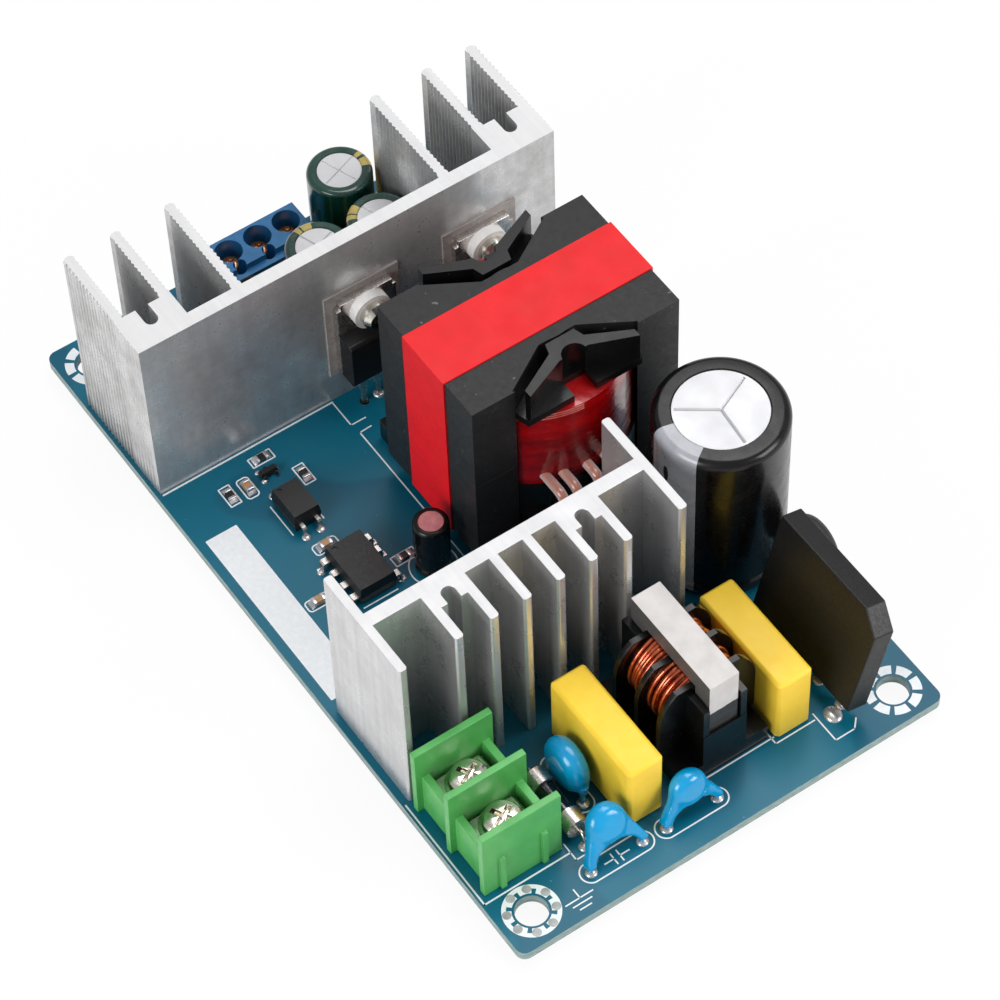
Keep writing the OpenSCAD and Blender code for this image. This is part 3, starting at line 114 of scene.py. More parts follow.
def mixColour(tree, factor, first, second):
    made = addNode(tree, "ShaderNodeMix", data_type="RGBA")
    for index, value in ((0, factor), (6, first), (7, second)):
        if isinstance(value, bpy.types.NodeSocket):
            tree.links.new(value, made.inputs[index])
        else:
            made.inputs[index].default_value = value
    return made.outputs[2]


def combine(tree, operation, first, second):
    made = addNode(tree, "ShaderNodeMath", {0: first, 1: second}, operation=operation)
    return made.outputs[0]


def bumpFrom(tree, field, strength, distance, under=None):
    made = addNode(tree, "ShaderNodeBump", {"Height": field, "Strength": strength, "Distance": distance})
    if under is not None:
        tree.links.new(under, made.inputs["Normal"])
    return made.outputs["Normal"]


def newGraph(name):
    material = bpy.data.materials.new(name)
    material.use_nodes = True
    return material, material.node_tree, material.node_tree.nodes["Principled BSDF"]


def facing(tree, axis):
    normal = addNode(tree, "ShaderNodeNewGeometry").outputs["Normal"]
    return addNode(tree, "ShaderNodeSeparateXYZ", {"Vector": normal}).outputs[axis]


def plain(name, colour, other, roughness, metallic=0.0, coat=0.0, specular=0.5, grain=900,
          grainStretch=(1, 1, 1), bump=2500, bumpStrength=0.15, bumpDepth=0.00005, roughSpread=0.08, wave=0,
          waveDepth=0.0001, speck=None, speckScale=1500, speckFrom=0.7):
    material, tree, shader = newGraph(name)
    field = noiseField(tree, grain, grainStretch)
    paint = mixColour(tree, spread(tree, field, 0, 1), colour, other)
    if speck:
        dots = spread(tree, noiseField(tree, speckScale, detail=2), 0, 1, speckFrom, speckFrom + 0.03)
        paint = mixColour(tree, dots, paint, speck)
    tree.links.new(paint, shader.inputs["Base Color"])
    rough = spread(tree, noiseField(tree, grain * 1.7, grainStretch), max(0.02, roughness - roughSpread),
                   min(1, roughness + roughSpread))
    tree.links.new(rough, shader.inputs["Roughness"])
    shader.inputs["Metallic"].default_value = metallic
    shader.inputs["Specular IOR Level"].default_value = specular
    shader.inputs["Coat Weight"].default_value = coat
    shader.inputs["Coat Roughness"].default_value = 0.08
    normal = bumpFrom(tree, noiseField(tree, bump, grainStretch, detail=2), bumpStrength, bumpDepth)
    if wave:
        normal = bumpFrom(tree, noiseField(tree, wave, detail=2), 0.5, waveDepth, normal)
    tree.links.new(normal, shader.inputs["Normal"])
    return material


def aluminium(name, side, sawn, dark, lineShare, blotchShare, metal):
    material, tree, shader = newGraph(name)
    isTop = spread(tree, facing(tree, "Z"), 0, 1, 0.5, 0.9)
    lines = noiseField(tree, 800, (1, 1, 0.012), detail=2)
    blotch = noiseField(tree, 210, detail=6, rough=0.7)
    scratch = noiseField(tree, 330, (4, 4, 0.7), detail=7, rough=0.85)
    nicks = noiseField(tree, 900, (1, 1, 0.6), detail=3)
    saw = noiseField(tree, 1500, (0.05, 1, 1), detail=3)
    colour = mixColour(tree, spread(tree, lines, 0, lineShare), side, dark)
    colour = mixColour(tree, spread(tree, blotch, 0, blotchShare, 0.4, 0.65), colour, dark)
    colour = mixColour(tree, spread(tree, scratch, 0, 0.5, 0.56, 0.64), colour, sawn)
    colour = mixColour(tree, spread(tree, nicks, 0, 0.5, 0.74, 0.79), colour, sawn)
    top = mixColour(tree, spread(tree, saw, 0, 1), sawn, side)
    tree.links.new(mixColour(tree, isTop, colour, top), shader.inputs["Base Color"])
    tree.links.new(spread(tree, isTop, metal, 0.3, 0, 1), shader.inputs["Metallic"])
    rough = combine(tree, "ADD", spread(tree, blotch, 0.22, 0.42), combine(tree, "MULTIPLY", isTop, 0.2))
    tree.links.new(rough, shader.inputs["Roughness"])
    normal = bumpFrom(tree, lines, 0.3, 0.00006)
    normal = bumpFrom(tree, scratch, 0.14, 0.00004, normal)
    normal = bumpFrom(tree, saw, 0.1, 0.00004, normal)
    tree.links.new(normal, shader.inputs["Normal"])
    return material


def boardMask(name):
    material, tree, shader = newGraph(name)
    flat = spread(tree, combine(tree, "ABSOLUTE", facing(tree, "Z"), 0), 0, 1, 0.4, 0.8)
    pour = noiseField(tree, 34, (1, 1.3, 1), detail=0)
    weave = addNode(tree, "ShaderNodeTexBrick",
                    {"Vector": objectPlace(tree, (1, 1, 1)), "Scale": 900, "Mortar Size": 0.03,
                     "Color1": (0.4, 0.4, 0.4, 1), "Color2": (0.6, 0.6, 0.6, 1),
                     "Mortar": (0.5, 0.5, 0.5, 1)})
    fibre = noiseField(tree, 650, (1, 1, 6), detail=3)
    dust = noiseField(tree, 1400, detail=2)
    mask = mixColour(tree, spread(tree, pour, 0, 1, 0.5, 0.515), srgb(0, 92, 116), srgb(0, 78, 102))
    mask = mixColour(tree, spread(tree, noiseField(tree, 45, detail=4), 0, 0.5), mask, srgb(0, 104, 128))
    mask = mixColour(tree, spread(tree, dust, 0, 0.5, 0.76, 0.79), mask, srgb(170, 196, 200))
    edge = mixColour(tree, spread(tree, fibre, 0, 1), srgb(158, 172, 168), srgb(112, 134, 134))
    tree.links.new(mixColour(tree, flat, edge, mask), shader.inputs["Base Color"])
    tree.links.new(spread(tree, flat, 0.75, 0.36, 0, 1), shader.inputs["Roughness"])
    shader.inputs["Specular IOR Level"].default_value = 0.28
    shader.inputs["Coat Weight"].default_value = 0.05
    shader.inputs["Coat Roughness"].default_value = 0.2
    normal = bumpFrom(tree, weave.outputs["Color"], 0.06, 0.00004)
    normal = bumpFrom(tree, spread(tree, pour, 0, 1, 0.5, 0.52), 0.3, 0.00004, normal)
    tree.links.new(normal, shader.inputs["Normal"])
    return material


def darkGlass(name):
    material, tree, shader = newGraph(name)
    tint = mixColour(tree, noiseField(tree, 300), srgb(26, 26, 28), srgb(12, 12, 14))
    tree.links.new(tint, shader.inputs["Base Color"])
    tree.links.new(spread(tree, noiseField(tree, 800), 0.02, 0.08), shader.inputs["Roughness"])
    shader.inputs["Alpha"].default_value = 0.72
    shader.inputs["Coat Weight"].default_value = 1.0
    return material


def sleevedCopperWithSheen(name):
    material, tree, shader = newGraph(name)
    # painted sheen: the facing ratio mixes the copper seen through the clear sleeve toward a whitish painted
    # reflection at grazing angles
    rim = addNode(tree, "ShaderNodeLayerWeight", {"Blend": 0.35}).outputs["Facing"]
    copper = mixColour(tree, noiseField(tree, 900, (1, 1, 0.3)), srgb(206, 110, 66), srgb(148, 68, 40))
    colour = mixColour(tree, spread(tree, rim, 0.15, 1, 0.05, 0.4), copper, srgb(222, 206, 204))
    tree.links.new(colour, shader.inputs["Base Color"])
    tree.links.new(spread(tree, noiseField(tree, 700), 0.1, 0.2), shader.inputs["Roughness"])
    shader.inputs["Coat Weight"].default_value = 0.8
    return material


def coveredCore(name, light, dark, fadeHeight):
    material, tree, shader = newGraph(name)
    place = addNode(tree, "ShaderNodeSeparateXYZ", {"Vector": objectPlace(tree, (1, 1, 1))})
    height = combine(tree, "ADD", place.outputs["Z"], combine(tree, "MULTIPLY", noiseField(tree, 300), 0.001))
    covered = spread(tree, height, 0, 1, fadeHeight * mm, (fadeHeight + 0.15) * mm)
    sideways = combine(tree, "ABSOLUTE", facing(tree, "Y"), 0)
    covered = combine(tree, "MULTIPLY", covered, spread(tree, sideways, 1, 0.1, 0.5, 0.8))
    body = mixColour(tree, spread(tree, noiseField(tree, 600, detail=4), 0, 1), dark, srgb(46, 46, 47))
    pale = mixColour(tree, spread(tree, noiseField(tree, 420, detail=5), 0, 0.5), light, srgb(172, 168, 166))
    tree.links.new(mixColour(tree, covered, body, pale), shader.inputs["Base Color"])
    tree.links.new(spread(tree, noiseField(tree, 900), 0.38, 0.55), shader.inputs["Roughness"])
    tree.links.new(bumpFrom(tree, noiseField(tree, 2200), 0.25, 0.00005), shader.inputs["Normal"])
    return material


look = {
    "board_mask": boardMask("solderMask"),
    "extruded_aluminium": aluminium("finnedAluminium", srgb(210, 210, 211), srgb(204, 204, 206),
                                    srgb(160, 158, 157), 0.3, 0.2, 0.74),
    "tinned_metal": plain(
        "tinnedMetal", srgb(214, 208, 204), srgb(186, 178, 174), 0.26, metallic=0.95, grain=420, bump=900,
        bumpStrength=0.08),
    "ferrite": plain(
        "ferrite", srgb(33, 33, 34), srgb(26, 26, 27), 0.46, grain=700, bump=4200, bumpStrength=0.25,
        bumpDepth=0.00005, specular=0.35, speck=srgb(96, 96, 98), speckScale=1100, speckFrom=0.72),
    "red_tape": plain(
        "redTape", srgb(222, 14, 24), srgb(208, 10, 18), 0.38, specular=0.3, grain=180, bump=3000,
        bumpStrength=0.06, wave=110, waveDepth=0.0001),
    "black_moulding": plain(
        "blackMoulding", srgb(13, 13, 14), srgb(9, 9, 10), 0.24, grain=220, bump=900, bumpStrength=0.05,
        specular=0.36, roughSpread=0.04, speck=srgb(60, 60, 63),
                            speckScale=700, speckFrom=0.77),
    "black_sleeve": plain(
        "blackSleeve", srgb(12, 11, 12), srgb(8, 7, 8), 0.26, coat=0.1, specular=0.28, grain=260,
        bump=900, bumpStrength=0.04, wave=90, waveDepth=0.0001),
    "green_sleeve": plain(
        "greenSleeve", srgb(10, 66, 54), srgb(5, 48, 40), 0.22, coat=0.5, grain=300, bump=900,
        bumpStrength=0.04, wave=160, waveDepth=0.0001),
    "yellow_case": plain(
        "yellowCase", srgb(243, 205, 62), srgb(236, 196, 54), 0.46, grain=240, bump=1800,
        bumpStrength=0.12, bumpDepth=0.00004, specular=0.4),
    "blue_coating": plain(
        "blueCoating", srgb(0, 150, 204), srgb(0, 136, 190), 0.2, coat=0.2, grain=220, bump=500,
        bumpStrength=0.08, wave=240, waveDepth=0.00015),
    "dark_coating": plain(
        "darkCoating", srgb(34, 34, 35), srgb(22, 22, 24), 0.5, grain=700, bump=900, bumpStrength=0.3),
    "clear_glass": darkGlass("darkGlass"),
    "epoxy": plain(
        "epoxyMoulding", srgb(21, 20, 20), srgb(15, 15, 15), 0.42, grain=1500, bump=4200,
        bumpStrength=0.35, bumpDepth=0.00004, specular=0.4),
    "painted_ferrite": coveredCore("coveredCore", srgb(204, 200, 198), srgb(26, 26, 27), 16.2),
    "copper_wire": plain(
        "copperWire", srgb(226, 118, 74), srgb(170, 66, 38), 0.22, metallic=0.85, coat=0.7, grain=500,
        bump=1200, bumpStrength=0.06),
    "green_housing": plain(
        "greenHousing", srgb(84, 170, 88), srgb(74, 158, 80), 0.36, grain=300, bump=1500,
        bumpStrength=0.1, wave=200, waveDepth=0.00004),
    "blue_housing": plain(
        "blueHousing", srgb(38, 112, 164), srgb(30, 98, 150), 0.34, grain=600, bump=3000,
        bumpStrength=0.12),
    "zinc_screw": plain(
        "zincScrew", srgb(226, 222, 212), srgb(196, 190, 178), 0.2, metallic=1.0, grain=500, bump=900,
        bumpStrength=0.08),
    "pad_film": plain(
        "padFilm", srgb(158, 152, 148), srgb(134, 126, 122), 0.26, grain=300, bump=1600, bumpStrength=0.2),
    "white_nylon": plain(
        "whiteNylon", srgb(226, 224, 222), srgb(204, 202, 200), 0.36, grain=500, bump=2000,
        bumpStrength=0.08),
    "clear_sleeving": sleevedCopperWithSheen("clearSleeving"),
    "chip_ceramic": plain(
        "chipCeramic", srgb(176, 138, 96), srgb(150, 112, 76), 0.4, grain=1500, bump=3000,
        bumpStrength=0.15),
}
extra = {
    "scuffed": aluminium("scuffedAluminium", srgb(212, 212, 212), srgb(204, 204, 206), srgb(128, 126, 124),
                         0.15, 0.42, 0.66),
    "ink": plain(
        "whiteInk", srgb(228, 232, 234), srgb(218, 224, 228), 0.6, grain=1300, bump=2600, bumpStrength=0.2),
    "solder": plain(
        "solder", srgb(214, 214, 216), srgb(176, 176, 180), 0.26, metallic=0.7, grain=500, bump=1500,
        bumpStrength=0.2),
    "canTop": plain(
        "brushedCanTop", srgb(206, 206, 208), srgb(194, 194, 198), 0.42, metallic=0.4, grain=160,
        bump=2200, bumpStrength=0.08),
    "pinkTop": plain(
        "pinkCanTop", srgb(214, 158, 160), srgb(190, 128, 134), 0.4, metallic=0.4, grain=700, bump=1800,
        bumpStrength=0.2),
    "stripe": plain(
        "paleStripe", srgb(160, 162, 168), srgb(144, 146, 153), 0.3, coat=0.4, grain=300, bump=900,
        bumpStrength=0.06),
    "gold": plain(
        "goldStripe", srgb(196, 176, 96), srgb(172, 150, 76), 0.3, coat=0.3, grain=500, bump=1200,
        bumpStrength=0.08),
    "dullSolder": plain("dullSolder", srgb(176, 178, 178), srgb(122, 124, 124), 0.45, grain=500, bump=500),
    "coil": plain(
        "coilTape", srgb(172, 6, 12), srgb(92, 2, 5), 0.2, coat=0.5, grain=110, grainStretch=(1, 1, 3),
                  bump=420, bumpStrength=0.4, bumpDepth=0.0003, wave=130, waveDepth=0.0008),
    # copper wire whose colour carries a painted pink reflection of the red coil tape
    "copperWireRedReflection": plain(
        "copperWireRedReflection", srgb(238, 150, 140), srgb(206, 96, 84), 0.2, metallic=0.6, coat=0.6, grain=600,
        bump=1200, bumpStrength=0.06),
    "resistorTop": plain(
        "resistorTop", srgb(24, 24, 26), srgb(14, 14, 15), 0.3, grain=900, bump=2200, bumpStrength=0.1),
    "brass": plain(
        "brassScrew", srgb(222, 170, 128), srgb(186, 128, 92), 0.26, metallic=0.9, grain=500, bump=900,
        bumpStrength=0.08),
    "amber": plain(
        "amberBand", srgb(176, 96, 44), srgb(130, 64, 28), 0.3, coat=0.4, grain=500, bump=1500,
        bumpStrength=0.1),
}
print("stage: materials made")


# modelling helpers
def boxOf(node):
    low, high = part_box(node)
    return low / mm, high / mm


def clearSelection():
    if bpy.context.object and bpy.context.object.mode == "EDIT":
        leaveEdit()
    bpy.ops.object.select_all(action="DESELECT")


def makeActive(piece):
    clearSelection()
    piece.select_set(True)
    bpy.context.view_layer.objects.active = piece


def applyPlace(piece):
    makeActive(piece)
    bpy.ops.object.transform_apply(location=True, rotation=True, scale=True)


def begin(kind, place, turn=(0, 0, 0), resize=(1, 1, 1), **sizes):
    clearSelection()
    lengths = ("radius", "radius1", "radius2", "depth", "size", "major_radius", "minor_radius")
    scaled = {key: value * mm if key in lengths else value for key, value in sizes.items()}
    getattr(bpy.ops.mesh, "primitive_" + kind + "_add")(location=Vector(place) * mm, rotation=turn, **scaled)
    piece = bpy.context.object
    piece.scale = resize
    applyPlace(piece)
    return piece


def leaveEdit():
    bpy.ops.object.mode_set(mode="OBJECT")


def choose(piece, test, kind="FACE"):
    makeActive(piece)
    bpy.ops.object.mode_set(mode="EDIT")
    bpy.ops.mesh.select_mode(type=kind)
    bpy.ops.mesh.select_all(action="DESELECT")
    inside = bmesh.from_edit_mesh(piece.data)
    for item in {"FACE": inside.faces, "EDGE": inside.edges, "VERT": inside.verts}[kind]:
        item.select_set(test(item))
    inside.select_flush_mode()
    bmesh.update_edit_mesh(piece.data)


def addModifier(piece, kind, **settings):
    made = piece.modifiers.new(kind.lower(), kind)
    for key, value in settings.items():
        setattr(made, key, value)
    makeActive(piece)
    bpy.ops.object.modifier_apply(modifier=made.name)


def rounded(piece, width, segments=2, angle=30):
    addModifier(piece, "BEVEL", width=width * mm, segments=segments, limit_method="ANGLE",
                angle_limit=math.radians(angle), use_clamp_overlap=True)


def dye(piece, *materials):
    piece.data.materials.clear()
    for material in materials:
        piece.data.materials.append(material)


def paintFaces(piece, index, test):
    for face in piece.data.polygons:
        if test(face.center / mm, face.normal):
            face.material_index = index


def joined(pieces):
    makeActive(pieces[0])
    for piece in pieces:
        piece.select_set(True)
    bpy.ops.object.join()
    return pieces[0]


def copyTo(piece, place, turn=0.0, resize=(1, 1, 1)):
    made = piece.copy()
    made.data = piece.data.copy()
    bpy.context.scene.collection.objects.link(made)
    stretch = Matrix.Diagonal((*resize, 1))
    made.data.transform(Matrix.Translation(Vector(place) * mm) @ Matrix.Rotation(turn, 4, "Z") @ stretch)
    return made


def discard(piece):
    bpy.data.objects.remove(piece, do_unlink=True)


def keep(piece, name, replaces=(), smooth=35):
    makeActive(piece)
    bpy.ops.object.shade_smooth_by_angle(angle=math.radians(smooth))
    if smooth < 60:
        addModifier(piece, "WEIGHTED_NORMAL", weight=100, keep_sharp=True)
    piece.name = name
    piece.data.name = name
    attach(piece, "root")
    if replaces:
        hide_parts(*replaces)


def turned(place, profile, steps=72):
    clearSelection()
    mesh = bpy.data.meshes.new("turned")
    points = [((place[0] + radius) * mm, place[1] * mm, height * mm) for radius, height in profile]
    mesh.from_pydata(points, [(index, index + 1) for index in range(len(points) - 1)], [])
    piece = bpy.data.objects.new("turned", mesh)
    bpy.context.scene.collection.objects.link(piece)
    makeActive(piece)
    bpy.ops.object.mode_set(mode="EDIT")
    bpy.ops.mesh.select_all(action="SELECT")
    bpy.ops.mesh.spin(steps=steps, angle=2 * math.pi, center=(place[0] * mm, place[1] * mm, 0),
                      axis=(0, 0, 1))
    bpy.ops.mesh.select_all(action="SELECT")
    bpy.ops.mesh.remove_doubles(threshold=0.000002)
    bpy.ops.mesh.normals_make_consistent(inside=False)
    leaveEdit()
    return piece


def looseBoxes(node):
    # the low and high corner of each separate solid of a CAD node
    shell = bmesh.new()
    shell.from_mesh(frame["nodes"][node].data)
    bmesh.ops.remove_doubles(shell, verts=shell.verts, dist=weldGap)
    left = set(shell.verts)
    boxes = []
    while left:
        grown = [left.pop()]
        group = []
        while grown:
            vertex = grown.pop()
            group.append(vertex.co / mm)
            for edge in vertex.link_edges:
                other = edge.other_vert(vertex)
                if other in left:
                    left.remove(other)
                    grown.append(other)
        low = Vector([min(point[axis] for point in group) for axis in range(3)])
        high = Vector([max(point[axis] for point in group) for axis in range(3)])
        boxes.append((low, high))
    shell.free()
    return sorted(boxes, key=lambda pair: tuple(round(value, 2) for value in pair[0]))


slotOf = {row["node"]: row["material_slot"] for row in frame["record"]["subparts"]}
nodeLook = {"transformer_winding": extra["coil"], "output_heatsink": extra["scuffed"]}
sharpFrom = {"output_heatsink": 14}
for name, part in frame["nodes"].items():
    dye(part, nodeLook.get(name, look[slotOf[name]]))
    part.data.shade_smooth()
    part.data.set_sharp_from_angle(angle=math.radians(sharpFrom.get(name, 32)))
print("stage: CAD nodes dressed")


# camera, floor and light
def addCamera():
    view = {"lens": 144.3, "sensor": 36, "nearest": 0.05, "place": (0.28817, -0.17938, 0.47424),
            "turn": ((0.56517, -0.65934, 0.49584), (0.82459, 0.46997, -0.31494),
                     (-0.02538, 0.58686, 0.80929))}
    camera = bpy.data.cameras.new("viewer")
    camera.lens = view["lens"]
    camera.sensor_width = view["sensor"]
    camera.clip_start = view["nearest"]
    holder = bpy.data.objects.new("viewer", camera)
    bpy.context.scene.collection.objects.link(holder)
    holder.matrix_world = Matrix.Translation(view["place"]) @ Matrix(view["turn"]).to_4x4()
    bpy.context.scene.camera = holder


def addFloor():
    ground = {"size": 6, "shade": 0.85, "roughness": 0.9, "seen": 0.93, "mirrored": 0.75}
    clearSelection()
    bpy.ops.mesh.primitive_plane_add(size=ground["size"], location=(0, 0, cadBox[0].z))
    floor = bpy.context.object
    floor.name = "floor"
    material, tree, shader = newGraph("paleFloor")
    shader.inputs["Base Color"].default_value = (ground["shade"], ground["shade"], ground["shade"], 1)
    shader.inputs["Roughness"].default_value = ground["roughness"]
    ray = addNode(tree, "ShaderNodeLightPath")
    seen = combine(tree, "MAXIMUM", ray.outputs["Is Camera Ray"], ray.outputs["Is Transmission Ray"])
    seen = combine(tree, "MULTIPLY", seen, ground["seen"])
    mirrored = combine(tree, "MULTIPLY", ray.outputs["Is Glossy Ray"], ground["mirrored"])
    seen = combine(tree, "MAXIMUM", seen, mirrored)
    glow = addNode(tree, "ShaderNodeEmission", {"Color": (1, 1, 1, 1), "Strength": 1.0})
    blend = addNode(tree, "ShaderNodeMixShader", {0: seen, 1: shader.outputs[0], 2: glow.outputs[0]})
    tree.links.new(blend.outputs[0], tree.nodes["Material Output"].inputs["Surface"])
    floor.data.materials.append(material)


def addLamp(name, place, size, power, aim=(0, 0, 0.015)):
    lamp = bpy.data.lights.new(name, "AREA")
    lamp.shape = "RECTANGLE"
    lamp.size, lamp.size_y = size
    lamp.energy = power
    holder = bpy.data.objects.new(name, lamp)
    bpy.context.scene.collection.objects.link(holder)
    holder.location = place
    holder.rotation_euler = (Vector(aim) - Vector(place)).to_track_quat("-Z", "Y").to_euler()


def addLight():
    sky = {"diffuse": 0.36, "mirrored": 0.5}
    lamps = (("overhead", (-0.1, 0.25, 0.75), (0.6, 0.45), 3.6),
             ("rightSide", (0.55, 0.4, 0.35), (0.35, 0.35), 3.0),
             ("frontLeft", (0.15, -0.7, 0.35), (0.4, 0.4), 3.8))
    world = bpy.data.worlds.new("studio")
    bpy.context.scene.world = world
    world.use_nodes = True
    tree = world.node_tree
    ray = addNode(tree, "ShaderNodeLightPath")
    strength = spread(tree, ray.outputs["Is Glossy Ray"], sky["diffuse"], sky["mirrored"], 0, 1)
    strength = combine(tree, "MAXIMUM", strength, ray.outputs["Is Camera Ray"])
    tree.links.new(strength, tree.nodes["Background"].inputs["Strength"])
    tree.nodes["Background"].inputs["Color"].default_value = (1, 1, 1, 1)
    for name, place, size, power in lamps:
        addLamp(name, place, size, power)
    bpy.context.scene.view_settings.view_transform = "Standard"
    bpy.context.scene.view_settings.look = "None"


addCamera()
addFloor()
addLight()
print("stage: camera, floor and light")


# softened copies of CAD nodes
def weldedCopy(node):
    # a free copy of a CAD node, left in edit mode with its seams welded
    clearSelection()
    piece = frame["nodes"][node].copy()
    piece.data = frame["nodes"][node].data.copy()
    piece.parent = None
    piece.matrix_world = Matrix()
    bpy.context.scene.collection.objects.link(piece)
    choose(piece, lambda face: True)
    bpy.ops.mesh.remove_doubles(threshold=weldGap)
    return piece


def softened(node, width, smooth):
    piece = weldedCopy(node)
    bpy.ops.mesh.dissolve_limited(angle_limit=math.radians(1))
    leaveEdit()
    rounded(piece, width, angle=25)
    keep(piece, node + "Soft", (node,), smooth)


for node, width, smooth in (("film_capacitor_front", 0.16, 60), ("film_capacitor_rear", 0.16, 60),
                            ("bridge_rectifier", 0.2, 30), ("transformer_core_upper", 0.22, 40),
                            ("transformer_core_lower", 0.2, 40), ("input_terminal_housing", 0.2, 40),
                            ("output_terminal_housing", 0.12, 40), ("rectifier_left", 0.15, 40),
                            ("rectifier_right", 0.15, 40), ("switching_transistor", 0.15, 40),
                            ("rectifier_left_frame", 0.08, 40), ("rectifier_right_frame", 0.08, 40),
                            ("input_heatsink", 0.1, 40), ("transformer_bobbin", 0.15, 40),
                            ("choke_bobbin", 0.16, 40), ("input_terminal_clamps", 0.1, 40),
                            ("choke_core", 0.15, 40)):
    softened(node, width, smooth)


def coated(node, voxel, passes):
    # a dipped coating flows round its part, so its edges melt together above the legs
    melt = {"above": 0.8, "fade": 2.2, "least": 0.06}
    piece = weldedCopy(node)
    leaveEdit()
    addModifier(piece, "REMESH", mode="VOXEL", voxel_size=voxel * mm)
    melted = piece.vertex_groups.new(name="melted")
    for vertex in piece.data.vertices:
        share = (vertex.co.z / mm - boardTop - melt["above"]) / melt["fade"]
        melted.add([vertex.index], max(melt["least"], min(1, share)), "REPLACE")
    addModifier(piece, "SMOOTH", factor=0.5, iterations=passes, vertex_group="melted")
    lowest = boxOf(node)[0].z * mm
    for vertex in piece.data.vertices:
        vertex.co.z = max(vertex.co.z, lowest)
    keep(piece, node + "Coat", (node,), 180)


for node, voxel, passes in (("safety_capacitor_1", 0.18, 70), ("safety_capacitor_2", 0.18, 70),
                            ("surge_absorber", 0.14, 16), ("inrush_limiter", 0.13, 8)):
    coated(node, voxel, passes)
print("stage: softened copies")


# capacitor cans
def canCapacitor(node, name, style):
    # the foot's points are insets from the wall and heights above the base
    shape = {"foot": ((1.2, 0.6), (0.9, 0), (0.5, 0), (0.1, 0.4), (0, 0.9)), "groove": 0.35,
             "grooveHalf": 0.5, "rimSteps": 10, "lip": 0.15, "dish": 0.4}
    low, high = boxOf(node)
    x, y = (low.x + high.x) / 2, (low.y + high.y) / 2
    radius, top = (high.x - low.x) / 2, high.z
    rim, disc, groove = style["rim"], style["disc"], style["groove"]
    profile = [(0, low.z + shape["foot"][0][1])]
    profile += [(radius - inset, low.z + height) for inset, height in shape["foot"]]
    profile += [(radius, groove - shape["grooveHalf"]), (radius - shape["groove"], groove),
                (radius, groove + shape["grooveHalf"]), (radius, top - rim)]
    for step in range(1, shape["rimSteps"]):
        angle = step * math.pi / 2 / shape["rimSteps"]
        profile.append((radius - rim + rim * math.cos(angle), top - rim + rim * math.sin(angle)))
    profile += [(disc + shape["lip"], top - 0.02), (disc, top - 0.12), (disc - 0.02, top - shape["dish"]),
                (0, top - shape["dish"])]
    can = turned((x, y), profile, 96)
    sleeve = look[slotOf[node]]
    dye(can, sleeve, style["stripe"], extra["canTop"])

    def inStripe(point):
        if math.hypot(point.x - x, point.y - y) < disc:
            return False
        angle = math.degrees(math.atan2(point.y - y, point.x - x)) % 360
        return any(start <= angle <= end for start, end in style["stripeAngles"])

    paintFaces(can, 1, lambda point, normal: inStripe(point) and point.z > style["stripeFoot"]
               and normal.z > -0.3)
    plate = begin("cylinder", (x, y, top - 0.35), vertices=96, radius=disc - 0.03, depth=shape["dish"])
    rounded(plate, 0.06)
    bars = []
    for angle in style["scores"]:
        bar = begin("cube", (0, 0, 0), size=1, resize=(disc * 0.94, style["score"], style["score"]))
        bar.data.transform(Matrix.Translation((disc * 0.47 * mm, 0, 0))
                           @ Matrix.Rotation(math.pi / 4, 4, "X"))
        bar.data.transform(Matrix.Translation(Vector((x, y, top - 0.13)) * mm)
                           @ Matrix.Rotation(math.radians(angle), 4, "Z"))
        bars.append(bar)
    cutter = joined(bars)
    addModifier(plate, "BOOLEAN", operation="DIFFERENCE", solver="EXACT", object=cutter, use_self=True)
    discard(cutter)
    dye(plate, style["plate"])
    keep(joined([can, plate]), name, (node,), 14)


bulkStyle = {"rim": 1.5, "disc": 6.95, "groove": 4.6, "stripe": extra["stripe"],
             "stripeAngles": ((256, 304),), "stripeFoot": 3.0, "scores": (-6, 114, 234), "score": 0.4,
             "plate": extra["canTop"]}
canCapacitor("bulk_capacitor", "bulkCapacitorCan", bulkStyle)
outputStyle = {"rim": 0.9, "disc": 3.4, "groove": 3.4, "stripe": extra["gold"], "stripeFoot": 3.0,
               "scores": (20, 110, 200, 290), "score": 0.22, "plate": extra["canTop"]}
for index, start in ((1, 68), (2, 205), (3, 160)):
    style = dict(outputStyle, stripeAngles=((start, start + 22), (start + 28, start + 40)))
    canCapacitor("output_capacitor_%d" % index, "outputCapacitorCan%d" % index, style)


def minusMark():
    # the plain polarity dash on the pale stripe
    mark = {"angle": 274, "height": 27.2, "length": 3.4, "width": 1.0}
    low, high = boxOf("bulk_capacitor")
    x, y, radius = (low.x + high.x) / 2, (low.y + high.y) / 2, (high.x - low.x) / 2
    dash = begin("uv_sphere", (0, 0, 0), segments=24, ring_count=12, radius=1)
    dash.data.transform(Matrix.Diagonal((0.02, mark["width"] / 2, mark["length"] / 2, 1)))
    dash.data.transform(Matrix.Rotation(math.radians(mark["angle"]), 4, "Z")
                        @ Matrix.Translation(((radius - 0.01) * mm, 0, mark["height"] * mm)))
    dash.data.transform(Matrix.Translation((x * mm, y * mm, 0)))
    dye(dash, look["black_sleeve"])
    keep(dash, "polarityDash")


